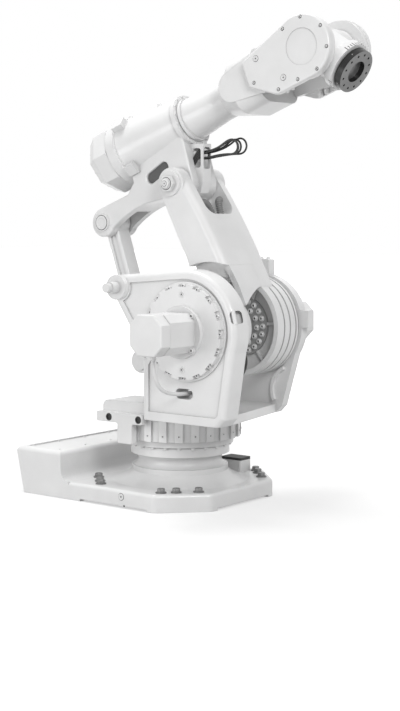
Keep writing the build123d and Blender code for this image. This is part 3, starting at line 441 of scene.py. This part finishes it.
# Base
ANCHOR_MOUNTS = ("anchor_bolts_front", "anchor_bolts_middle", "anchor_bolts_side")
PLATE_TOP = 82.0
LID_SCREW_INSET = 16.0
LID_SCREW_GAPS = 4
BASE_PLUG = (-4.0, 52.0)
BASE_HOLE = (14.0, 12.0)
BASE_HOLE_PROFILE = ((4.5, -SINK), (4.5, 0.4), (3.0, 0.5))


def dress_base():
    """Anchor bolts, the screws of the box's lid, and a plug and a hole in the right side."""
    shape = bmesh.new()
    for name in ANCHOR_MOUNTS:
        half_x = mounts[name]["dims"]["spacing_x_mm"] / 2
        half_y = mounts[name]["dims"]["spacing_y_mm"] / 2
        for x in (-half_x, half_x):
            for y in (-half_y, half_y):
                place = facing(at(x, y, PLATE_TOP), UP)
                hex_bolt(shape, place, radius=19.0, height=16.0, washer=(25.0, 5.0))
    piece("anchor_bolts", shape, "base", "dark_steel", "zinc")

    lid_low, lid_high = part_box("connection_box_lid")
    inset = LID_SCREW_INSET * MM
    run = lid_high[1] - lid_low[1] - inset * 2
    shape = bmesh.new()
    for x in (lid_low[0] + inset, lid_high[0] - inset):
        for i in range(LID_SCREW_GAPS + 1):
            y = lid_low[1] + inset + run * i / LID_SCREW_GAPS
            socket_bolt(shape, facing((x, y, lid_high[2]), UP), radius=7.0, height=4.5)
    piece("lid_screws", shape, "base", "white_paint")

    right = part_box("base_casting")[0][1]
    plug_x, plug_z = BASE_PLUG
    hole_x, hole_z = BASE_HOLE
    shape = bmesh.new()
    ring_plug(shape, facing((plug_x * MM, right, plug_z * MM), RIGHT), radius=15.0, height=3.0)
    hole = facing((hole_x * MM, right, hole_z * MM), RIGHT)
    turned(shape, hole, BASE_HOLE_PROFILE, count=16, end_material=DARK, side_material=DARK)
    piece("base_plug", shape, "base", "white_paint")


# Frame
RING_FASTENERS = 24
RING_BOLT_CIRCLE = 243.0
RING_SCREW_CIRCLE = 289.6
RING_SCREW_HEIGHT = 318.0
LIFT_BAR = ((562.5, -316, 857), (554, -316, 890), (545.5, -316, 923))
CHEEK_CABLE = ((500, -240, 748), (582, -218, 740), (552, -218, 610), (478, -240, 590))
CHEEK_CABLE_MOVES = ((0, 0, 0), (-15, 0, -6))
GEAR_BOLT_CIRCLE = 206.0
GEAR_SIDE_CIRCLE = 168.0
GEAR_WASHER = ((16, -SINK), (16, 2.2), (15, 3), (9.5, 3), (9.0, 1.0))
MOTOR_BOLT_CIRCLE = 108.0
MOTOR_FLANGE = 22.0
MOTOR_WASHER = ((14, -SINK), (14, 2.0), (13, 3.0), (11, 3.0))
BRACKET_BOLTS = ((291, 257, 1122.5), (329, 257, 1122.5))
MOTOR_CABLE_BACK = 32.0
MOTOR_CABLE_Y = -525.0
MOTOR_GLAND_PROFILE = ((19, -3), (19, 9), (17, 11), (14, 12), (14, 24), (11, 28))
SUPPLY_PLUG_PLACES = ((-156, -335, 394.5), (22, -335, 394.5))
SUPPLY_PLUG_PROFILE = (
    (13.6, -20), (13.6, 0), (17.5, 0), (17.5, 1.2), (16, 2), (12, 2), (10.5, -4), (4, -4),
)


def add_ring_fasteners():
    """Bolts under the slewing ring, and screws around its outer face."""
    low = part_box("slewing_ring")[0][2]
    shape = bmesh.new()
    for place in polar(facing((0, 0, low), DOWN), RING_BOLT_CIRCLE, RING_FASTENERS, offset=0.5):
        hex_bolt(shape, place, radius=8.5, height=8.0, washer=(10.0, 2.0))
    piece("ring_bolts", shape, "frame", "white_paint")

    middle = facing(at(0, 0, RING_SCREW_HEIGHT), UP)
    shape = bmesh.new()
    for place in polar(middle, RING_SCREW_CIRCLE, RING_FASTENERS, offset=0.5):
        socket_bolt(shape, place @ OUTWARD, radius=5.5, height=2.6)
    piece("ring_screws", shape, "frame", "white_paint")


def add_gear_bolts(side, corner, outward):
    """Bolts on the ledge and the face of a gear cover, and on the flange of its motor."""
    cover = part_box(f"gear_cover_{side}")
    ledge = (cover[0][1] + cover[1][1]) / 2
    face = cover[corner][1]
    shape = bmesh.new()
    for place in polar(on_side(SHOULDER, ledge, outward), GEAR_BOLT_CIRCLE, count=16):
        socket_bolt(shape, place, radius=8.5, height=9.0)
    for place in polar(on_side(SHOULDER, face, outward), GEAR_SIDE_CIRCLE, count=2, offset=0.5):
        turned(shape, place, GEAR_WASHER)
        socket_bolt(shape, place, radius=8.0, height=5.0)
    piece(f"gear_bolts_{side}", shape, "frame", "white_paint")

    flange = on_side(SHOULDER, face + outward.y * MOTOR_FLANGE * MM, outward)
    shape = bmesh.new()
    for place in polar(flange, MOTOR_BOLT_CIRCLE, count=4, offset=0.5):
        turned(shape, place, MOTOR_WASHER)
        socket_bolt(shape, place, radius=10.0, height=12.0)
    piece(f"motor_bolts_{side}", shape, "frame", "white_paint")


def dress_frame():
    """Fasteners, a bar and cables at the front of the right cheek, a cable gland and plugs."""
    add_ring_fasteners()

    shape = bmesh.new()
    tube(shape, [at(*point) for point in LIFT_BAR], radius=10.0)
    piece("lift_bar", shape, "frame", "white_paint")

    shape = bmesh.new()
    for move in CHEEK_CABLE_MOVES:
        tube(shape, bend([at(*point) + at(*move) for point in CHEEK_CABLE]), radius=9.0)
    piece("cheek_cables", shape, "frame", "black_cable")

    for side, corner, outward in SIDES:
        add_gear_bolts(side, corner, outward)

    shape = bmesh.new()
    for spot in BRACKET_BOLTS:
        place = facing(at(*spot), UP)
        hex_bolt(shape, place, radius=9.0, height=8.0, washer=(11.5, 2.0))
    piece("bracket_bolts", shape, "frame", "white_paint")

    cable_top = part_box("motor_cable_right")[1][2]
    top = (SHOULDER.x - MOTOR_CABLE_BACK * MM, MOTOR_CABLE_Y * MM, cable_top)
    shape = bmesh.new()
    turned(shape, facing(top, DOWN), MOTOR_GLAND_PROFILE)
    piece("motor_cable_gland", shape, "frame", "white_paint")

    shape = bmesh.new()
    for spot in SUPPLY_PLUG_PLACES:
        turned(shape, facing(at(*spot), RIGHT), SUPPLY_PLUG_PROFILE)
    piece("supply_plugs", shape, "frame", "black_plastic")


# Lower arm. Reach is measured forward from the line between axis 2 and the elbow, and height along
# it. The front arc has points of reach and height, and the wall's edge has points of Y and height.
# The skirt's rear and front ends are angles forward of that line, in degrees.
FRONT_ARC = ((192.0, 140.0), (140.0, 451.5), (74.0, 700.0))
RECESS_RADIUS = 305.0
RECESS_OVERLAP = 3.0
WALL_EDGE = (
    (-104, 58), (-99, 53), (-90, 60), (-69, 76), (-31, 102), (0, 119), (21, 129), (50, 136),
)
WALL_LEFT = 50.0
WALL_FLARE = 1.17
WALL_THICKNESS = 30.0
WALL_ROWS = 14
WALL_TOP_ROUNDS = 12
SKIRT_FAR = -94.0
SKIRT_NEAR = -112.0
SKIRT_LOW = 240.0
SKIRT_EDGE = 3.0
SKIRT_REAR = -3.4
SKIRT_FRONT = 35.0
SKIRT_STEPS = 16
HUB_BOLT_CIRCLES = ((118.0, 20, 0.0), (84.0, 12, 0.25))
HUB_WASHER = ((14, -SINK), (14, 2.4), (13, 3.2), (11.5, 3.2))
FORK_HOSES = (
    ((575, -106, -72), (596, -60, -80), (580, -10, -82), (503, -5, -70)),
    ((600, 106, -60), (602, 70, -68), (585, 62, -74), (502, 62, -66)),
)


def arc_through(points):
    """The centre and radius of the circle through three points."""
    (ax, ay), (bx, by), (cx, cy) = points
    turn = 2 * (ax * (by - cy) + bx * (cy - ay) + cx * (ay - by))
    aa, bb, cc = ax * ax + ay * ay, bx * bx + by * by, cx * cx + cy * cy
    x = (aa * (by - cy) + bb * (cy - ay) + cc * (ay - by)) / turn
    y = (aa * (cx - bx) + bb * (ax - cx) + cc * (bx - ax)) / turn
    return x, y, math.hypot(ax - x, ay - y)


FRONT_X, FRONT_Y, FRONT_RADIUS = arc_through(FRONT_ARC)


def arm_front(height):
    """The reach of the lower arm's front at a height: upright below its arc."""
    low_reach, low_height = FRONT_ARC[0]
    if height <= low_height:
        return low_reach
    return FRONT_X + math.sqrt(FRONT_RADIUS**2 - (height - FRONT_Y) ** 2)


def wall_top(inset):
    """The height at which a sheet of the front wall ends, just inside the rim of the recess."""
    radius = RECESS_RADIUS + RECESS_OVERLAP
    height = RECESS_RADIUS
    for _ in range(WALL_TOP_ROUNDS):
        height = math.sqrt(radius**2 - (arm_front(height) - inset) ** 2)
    return height


def wall_sheet(shape, arm, inset):
    """Columns of points of one sheet of the front wall, from its edge up."""
    top = wall_top(inset)
    sheet = []
    for low_y, low_height in WALL_EDGE:
        high_y = low_y
        if low_y < WALL_LEFT:
            high_y = WALL_LEFT - (WALL_LEFT - low_y) * WALL_FLARE
        column = []
        for i in range(WALL_ROWS + 1):
            share = i / WALL_ROWS
            height = low_height + (top - low_height) * share
            y = low_y + (high_y - low_y) * share
            column.append(shape.verts.new(arm @ at(height, y, inset - arm_front(height))))
        sheet.append(column)
    return sheet


def add_front_wall(arm):
    """The arm's front wall, which runs on past the recess to the edge of the hub opening."""
    shape = bmesh.new()
    outer, inner = (wall_sheet(shape, arm, inset) for inset in (0.0, WALL_THICKNESS))
    rows = WALL_ROWS
    for a, b in zip(range(len(outer)), range(1, len(outer))):
        for i in range(rows):
            shape.faces.new((outer[a][i], outer[b][i], outer[b][i + 1], outer[a][i + 1]))
            shape.faces.new((inner[a][i], inner[a][i + 1], inner[b][i + 1], inner[b][i]))
        shape.faces.new((outer[a][0], inner[a][0], inner[b][0], outer[b][0]))
        shape.faces.new((outer[a][rows], outer[b][rows], inner[b][rows], inner[a][rows]))
    for i in range(rows):
        shape.faces.new((outer[0][i], outer[0][i + 1], inner[0][i + 1], inner[0][i]))
        shape.faces.new((outer[-1][i], inner[-1][i], inner[-1][i + 1], outer[-1][i + 1]))
    piece("arm_front_wall", shape, "lower_arm", "white_paint")


def add_skirt(arm):
    """The near wall inside the recess, set back behind the arm's side, down to the hub."""
    turns = [
        math.radians(SKIRT_REAR + (SKIRT_FRONT - SKIRT_REAR) * i / SKIRT_STEPS)
        for i in range(SKIRT_STEPS + 1)
    ]
    high = RECESS_RADIUS + RECESS_OVERLAP
    loops = []
    for y, low in (
        (SKIRT_FAR, SKIRT_LOW),
        (SKIRT_NEAR + SKIRT_EDGE, SKIRT_LOW),
        (SKIRT_NEAR, SKIRT_LOW + SKIRT_EDGE),
    ):
        loop = [(high * math.cos(turn), y, -high * math.sin(turn)) for turn in turns]
        loop += [(low * math.cos(turn), y, -low * math.sin(turn)) for turn in reversed(turns)]
        loops.append(loop)
    shape = bmesh.new()
    skin(shape, arm, loops)
    piece("arm_skirt", shape, "lower_arm", "white_paint")


def dress_lower_arm():
    """Hub bolts, the walls around the hub, hoses in the fork and the ends of the elbow pin."""
    hub_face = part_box("lower_arm_hub")[0][1]
    seat = facing((SHOULDER.x, hub_face, SHOULDER.z), RIGHT, LOWER_WAY)
    shape = bmesh.new()
    for circle in HUB_BOLT_CIRCLES:
        for place in polar(seat, *circle):
            turned(shape, place, HUB_WASHER)
            socket_bolt(shape, place, radius=10.5, height=10.0)
    piece("hub_bolts", shape, "lower_arm", "white_paint")

    arm = along(SHOULDER, LOWER_WAY)
    add_front_wall(arm)
    add_skirt(arm)

    shape = bmesh.new()
    for route in FORK_HOSES:
        line = bend([arm @ at(*point) for point in route])
        corrugated(shape, line, radius=17.0, depth=4.0, pitch=9.0)
    piece("fork_hoses", shape, "lower_arm", "black_cable", "grey_hose")

    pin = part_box("elbow_pin")
    shape = bmesh.new()
    for _, corner, outward in SIDES:
        place = on_side(ELBOW, pin[corner][1], outward)
        dark_disc(shape, place, radius=30.0, top_radius=24.0)
        hex_bolt(shape, place, radius=24.0, height=9.0, washer=(27.0, 3.0))
        nut_top = place @ Matrix.Translation(at(0, 0, 12.0))
        ring_plug(shape, nut_top, radius=12.0, height=2.0)
    piece("elbow_pin_ends", shape, "lower_arm", "white_paint")


# Upper arm. The cable routes are those of the CAD tubes, from the elbow.
CABLE_DIAMETER = 0.009
CLAMP_FACE = 66.0
CABLE_ROUTES = {
    "cable_loop_1": (
        (112, -4, 143), (180, 2, 160), (222, 6, 181), (251, 9, 203), (279, 11, 209),
        (301, 12, 197), (311, 12, 172), (302, 11, 148), (279, 10, 135), (243, 7, 136),
        (190, 3, 131), (118, -4, 121),
    ),
    "cable_loop_2": (
        (110, -14.5, 147), (172, -10, 158), (204, -8, 175), (233, -6, 198), (259, -4, 204),
        (281, -3, 192), (290, -3, 169), (282, -4, 146), (260, -5, 134), (226, -8, 136),
        (180, -11, 130), (118, -14.5, 117),
    ),
    "cable_loop_3": (
        (110, -25.5, 149), (168, -25, 164), (202, -24, 183), (231, -24, 200), (257, -23, 203),
        (277, -22, 191), (285, -22, 168), (277, -22, 146), (255, -23, 134), (221, -24, 136),
        (176, -25, 131), (118, -25.5, 121),
    ),
    "cable_loop_4": (
        (110, -36, 142), (168, -39, 156), (214, -42, 177), (248, -43, 196.5), (284, -44, 197),
        (303, -44, 178.5), (303, -44, 151.5), (284, -44, 133), (240, -43, 135), (180, -40, 131),
        (118, -36, 120),
    ),
}
SLOT_ENDS = ((-152.0, 90.0), (-63.0, 107.0))
# The plate in the oblong hole, dark as painted shade
SLOT_SHADE_RADIUS = 27.0
SLOT_SHADE_HALF = 84.0
SLOT_SHADE_EDGE = 4.0
SLOT_SHADE_STEPS = 12
WINDOW_CABLE_HEIGHTS = (172.0, 160.0, 148.0, 136.0)
WINDOW_CABLE_Y = -45.2
WINDOW_CABLE_STAGGER = 0.5
WINDOW_CABLE_RUN = ((92, 0), (78, -10), (56, -34), (40, -66))
LUG_RING = ((34, -SINK), (34, 1.6), (32.5, 2.6), (24, 2.6), (22.5, 0.8))
FRONT_RING_FACE = 106.0
FRONT_RING_CIRCLE = 117.0
LIFTING_BOLTS = ((-236, 146), (-49, 129))
LIFTING_BOLT_RISE = 6.0
LIFTING_COLLAR = ((15, -4), (15, 5), (13, 7), (11, 7))
END_COVER_FACE = 451.5
END_COVER_CIRCLE = 118.0


def add_cable(name, route):
    """One cable that loops out of the clamp and back into it, along the CAD tube's own route."""
    stations = [(CLAMP_FACE, *route[0][1:]), *route, (CLAMP_FACE, *route[-1][1:])]
    points = [ELBOW + at(*station) for station in stations]
    curve = bpy.data.curves.new(f"{name}_visual", "CURVE")
    curve.dimensions = "3D"
    curve.bevel_depth = CABLE_DIAMETER / 2
    curve.bevel_resolution = 4
    curve.resolution_u = 8
    curve.use_fill_caps = True
    spline = curve.splines.new("NURBS")
    spline.points.add(len(points) - 1)
    for control, point in zip(spline.points, points):
        control.co = (*point, 1.0)
    spline.order_u = 3
    spline.use_endpoint_u = True
    curve.materials.append(MATERIALS["black_cable"])
    cable = bpy.data.objects.new(f"{name}_visual", curve)
    bpy.context.scene.collection.objects.link(cable)
    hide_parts(name)
    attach(cable, "upper_arm")


def add_slot_shade_plate():
    """A plate deep in the oblong hole of the upper arm, whose dark colour is painted shade."""
    (rear_x, rear_z), (front_x, front_z) = SLOT_ENDS
    way = math.atan2(front_z - rear_z, front_x - rear_x)
    rear_start, front_start = way + math.pi / 2, way - math.pi / 2
    half, edge = SLOT_SHADE_HALF, SLOT_SHADE_EDGE
    loops = []
    for y, inset in ((-half, edge), (edge - half, 0.0), (half - edge, 0.0), (half, edge)):
        reach = SLOT_SHADE_RADIUS - inset
        loop = []
        for x, z, start in ((rear_x, rear_z, rear_start), (front_x, front_z, front_start)):
            for i in range(SLOT_SHADE_STEPS + 1):
                turn = start + math.pi * i / SLOT_SHADE_STEPS
                loop.append((x + reach * math.cos(turn), y, z + reach * math.sin(turn)))
        loops.append(loop)
    shape = bmesh.new()
    skin(shape, along(ELBOW, UPPER_WAY), loops)
    piece("slot_shade_plate", shape, "upper_arm", "black_plastic", "painted_shade_plate")


def add_window_cables():
    """Cables that run on from the loops through the near side of the window."""
    shape = bmesh.new()
    for i, height in enumerate(WINDOW_CABLE_HEIGHTS):
        y = WINDOW_CABLE_Y + WINDOW_CABLE_STAGGER * (i % 2)
        line = [ELBOW + at(x, y, height + rise) for x, rise in WINDOW_CABLE_RUN]
        tube(shape, bend(line, steps=10), radius=4.4, count=12)
    piece("window_cables", shape, "upper_arm", "black_cable")


def dress_upper_arm():
    """Cables, a dark plate of painted shade in the oblong hole, the lug pin's rings, and the housing's fasteners.
    """
    for name, route in CABLE_ROUTES.items():
        add_cable(name, route)
    add_slot_shade_plate()
    add_window_cables()

    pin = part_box("lug_pin")
    shape = bmesh.new()
    for _, corner, outward in SIDES:
        place = on_side(LUG, pin[corner][1], outward)
        dark_disc(shape, place, radius=37.0, top_radius=30.0)
        turned(shape, place, LUG_RING)
    piece("lug_rings", shape, "upper_arm", "white_paint")

    ring_face = facing(HOUSING + UPPER_WAY * FRONT_RING_FACE * MM, UPPER_WAY, RIGHT)
    shape = bmesh.new()
    for place in polar(ring_face, FRONT_RING_CIRCLE, count=16, offset=0.5):
        socket_bolt(shape, place, radius=5.0, height=4.0)
    piece("front_ring_bolts", shape, "upper_arm", "white_paint")

    housing = along(HOUSING, UPPER_WAY)
    above = housing.to_3x3() @ UP
    shape = bmesh.new()
    for x, height in LIFTING_BOLTS:
        spot = housing @ at(x, 0, height)
        turned(shape, facing(spot, above), LIFTING_COLLAR)
        head = facing(spot + above * LIFTING_BOLT_RISE * MM, above)
        hex_bolt(shape, head, radius=11.0, height=13.0, washer=(12.5, 2.0))
    piece("lifting_bolts", shape, "upper_arm", "white_paint")

    end_face = facing(HOUSING - UPPER_WAY * END_COVER_FACE * MM, -UPPER_WAY, RIGHT)
    shape = bmesh.new()
    for place in polar(end_face, END_COVER_CIRCLE, count=8, offset=0.5):
        socket_bolt(shape, place, radius=6.0, height=4.0)
    piece("end_cover_screws", shape, "upper_arm", "white_paint")


# Forearm, with places along the arm and above it, from the wrist
CONNECTORS = ((-118, -134, -108), (-150, -134, -108), (-118, 134, -108), (-150, 134, -108))
CONNECTOR_WAY = Vector((-0.35, 0, -1))
COVER_SCREWS = (
    (121, 43), (118, -53), (40, -122), (-66, -124), (-174, -124), (40, 122), (-62, 112),
    (-284, -44),
)
COVER_PLUGS = ((-238, 51), (-132, -86))


def dress_forearm():
    """Connectors under the wrist, and the screws and plugs of its covers."""
    arm = along(WRIST, UPPER_WAY)
    down = arm.to_3x3() @ CONNECTOR_WAY
    shape = bmesh.new()
    for spot in CONNECTORS:
        gland(shape, facing(arm @ at(*spot), down), radius=11.0, length=38.0)
    piece("wrist_connectors", shape, "forearm", "white_paint")

    for side, corner, outward in SIDES:
        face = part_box(f"wrist_cover_{side}")[corner][1]
        cover = along((WRIST.x, face, WRIST.z), UPPER_WAY)
        shape = bmesh.new()
        for x, z in COVER_SCREWS:
            seated_screw(shape, facing(cover @ at(x, 0, z), outward), radius=5.5, height=4.0)
        for x, z in COVER_PLUGS:
            ring_plug(shape, facing(cover @ at(x, 0, z), outward), radius=13.0, height=3.0)
        piece(f"cover_screws_{side}", shape, "forearm", "white_paint")


# Tilt ring
TICK_BACK = 50.0
TICK_CIRCLE = 112.0
TICK_STEP = math.radians(7.5)
TICK_REACH = 6
LONG_TICK, SHORT_TICK = 11.0, 7.0
LONG_TICK_EVERY = 3
TICK_HALF_WIDTH = 1.8
TICK_RISE = 0.5
TICK_EDGE = 0.2


def dress_tilt():
    """Dark tick marks around the ring behind the flange, in two groups."""
    ring_end = facing(TOOL - TOOL_WAY * TICK_BACK * MM, TOOL_WAY, UP)
    out = Matrix.Translation(at(TICK_CIRCLE, 0, 0)) @ OUTWARD
    shape = bmesh.new()
    for group in (0.0, math.pi):
        for i in range(-TICK_REACH, TICK_REACH + 1):
            place = ring_end @ Matrix.Rotation(group + TICK_STEP * i, 4, "Z") @ out
            half = LONG_TICK if i % LONG_TICK_EVERY == 0 else SHORT_TICK
            low = (-half, -TICK_HALF_WIDTH, -SINK)
            block(shape, place, low, (half, TICK_HALF_WIDTH, TICK_RISE), TICK_EDGE)
    piece("tilt_ticks", shape, "tilt", "black_plastic")


# Tool flange
RIM_BACK = 16.5
RIM_RADIUS = 100.0
RIM_MARK = ((2.2, -SINK), (2.2, 0.25), (1.8, 0.3))


def dress_tool():
    """Pale marks around the flange's rim."""
    rim = facing(TOOL - TOOL_WAY * RIM_BACK * MM, TOOL_WAY, RIGHT)
    shape = bmesh.new()
    for place in polar(rim, RIM_RADIUS, count=4, offset=0.5):
        turned(shape, place @ OUTWARD, RIM_MARK, count=12)
    piece("flange_marks", shape, "tool_flange", "white_paint")


# Stage. The camera stands to the front right of the arm, a little below the height of its elbow.
# A lamp has a name, a place, a size and a power.
CAMERA_PLACE = Vector((4.3978, -5.4845, 1.3726))
CAMERA_TARGET = Vector((0.1197, 0.0, 1.0957))
CAMERA_LENS = 75.1
CAMERA_SHIFT_Y = -0.127
WHITE = (1.0, 1.0, 1.0, 1.0)
WORLD_LIGHT = 0.44
FLOOR_HALF = 30.0
FLOOR_COLOUR = (0.50, 0.50, 0.50, 1.0)
FLOOR_ROUGHNESS = 0.9
FLOOR_GLOW = 0.50
GLOW_START = 1.3
GLOW_FULL = 3.4
LAMPS = (
    ("key", (5.6, -3.4, 4.2), 2.5, 205.0),
    ("fill", (-1.6, -5.6, 1.0), 3.0, 92.0),
    ("top", (-1.4, 0.2, 6.0), 2.5, 185.0),
)


def add_camera():
    """A camera at the photograph's angle, with the small shift of its framing."""
    data = bpy.data.cameras.new("camera")
    data.lens = CAMERA_LENS
    data.shift_y = CAMERA_SHIFT_Y
    camera = bpy.data.objects.new("camera", data)
    camera.location = CAMERA_PLACE
    camera.rotation_euler = (CAMERA_TARGET - CAMERA_PLACE).to_track_quat("-Z", "Y").to_euler()
    bpy.context.scene.collection.objects.link(camera)
    bpy.context.scene.camera = camera


def shown_or_lighting(tree, shown, lighting):
    """One shader for camera, mirror and glass rays, and another for the light on the object."""
    path = tree.nodes.new("ShaderNodeLightPath")
    seen = path.outputs["Is Camera Ray"]
    for kind in ("Is Glossy Ray", "Is Transmission Ray"):
        either = tree.nodes.new("ShaderNodeMath")
        either.operation = "MAXIMUM"
        tree.links.new(seen, either.inputs[0])
        tree.links.new(path.outputs[kind], either.inputs[1])
        seen = either.outputs["Value"]
    choose = tree.nodes.new("ShaderNodeMixShader")
    tree.links.new(seen, choose.inputs["Fac"])
    tree.links.new(lighting, choose.inputs[1])
    tree.links.new(shown, choose.inputs[2])
    return choose.outputs["Shader"]


def add_floor():
    """A pale floor that glows white to the camera away from the arm and keeps its shadow."""
    mesh = bpy.data.meshes.new("floor")
    shape = bmesh.new()
    bmesh.ops.create_grid(shape, x_segments=1, y_segments=1, size=FLOOR_HALF)
    shape.to_mesh(mesh)
    shape.free()
    floor = bpy.data.objects.new("floor", mesh)
    bpy.context.scene.collection.objects.link(floor)
    paint, tree, shader = node_material("floor")
    shader.inputs["Base Color"].default_value = FLOOR_COLOUR
    shader.inputs["Roughness"].default_value = FLOOR_ROUGHNESS
    coordinates = tree.nodes.new("ShaderNodeTexCoord")
    distance = tree.nodes.new("ShaderNodeVectorMath")
    distance.operation = "LENGTH"
    tree.links.new(coordinates.outputs["Object"], distance.inputs[0])
    spread = add_node(
        tree, "ShaderNodeMapRange",
        From_Min=GLOW_START, From_Max=GLOW_FULL, To_Min=FLOOR_GLOW, To_Max=1.0,
    )
    tree.links.new(distance.outputs["Value"], spread.inputs["Value"])
    glow = tree.nodes.new("ShaderNodeEmission")
    tree.links.new(spread.outputs["Result"], glow.inputs["Strength"])
    dark = add_node(tree, "ShaderNodeEmission", Strength=0.0)
    both = tree.nodes.new("ShaderNodeAddShader")
    tree.links.new(shader.outputs["BSDF"], both.inputs[0])
    added = shown_or_lighting(tree, glow.outputs["Emission"], dark.outputs["Emission"])
    tree.links.new(added, both.inputs[1])
    tree.links.new(both.outputs["Shader"], tree.nodes["Material Output"].inputs["Surface"])
    mesh.materials.append(paint)


def add_lights():
    """Soft lamps from the front right, the right and above, and an even world that shows white."""
    world = bpy.data.worlds.new("studio")
    world.use_nodes = True
    tree = world.node_tree
    light = tree.nodes["Background"]
    light.inputs["Color"].default_value = WHITE
    light.inputs["Strength"].default_value = WORLD_LIGHT
    shown = add_node(tree, "ShaderNodeBackground", Color=WHITE, Strength=1.0)
    either = shown_or_lighting(tree, shown.outputs["Background"], light.outputs["Background"])
    tree.links.new(either, tree.nodes["World Output"].inputs["Surface"])
    bpy.context.scene.world = world
    for name, place, size, power in LAMPS:
        data = bpy.data.lights.new(name, "AREA")
        data.shape = "DISK"
        data.size = size
        data.energy = power
        lamp = bpy.data.objects.new(name, data)
        lamp.location = place
        lamp.rotation_euler = (CAMERA_TARGET - lamp.location).to_track_quat("-Z", "Y").to_euler()
        bpy.context.scene.collection.objects.link(lamp)


add_camera()
add_floor()
add_lights()
dress_cad()
dress_base()
dress_frame()
dress_lower_arm()
dress_upper_arm()
dress_forearm()
dress_tilt()
dress_tool()
bpy.context.scene.view_settings.view_transform = "Standard"
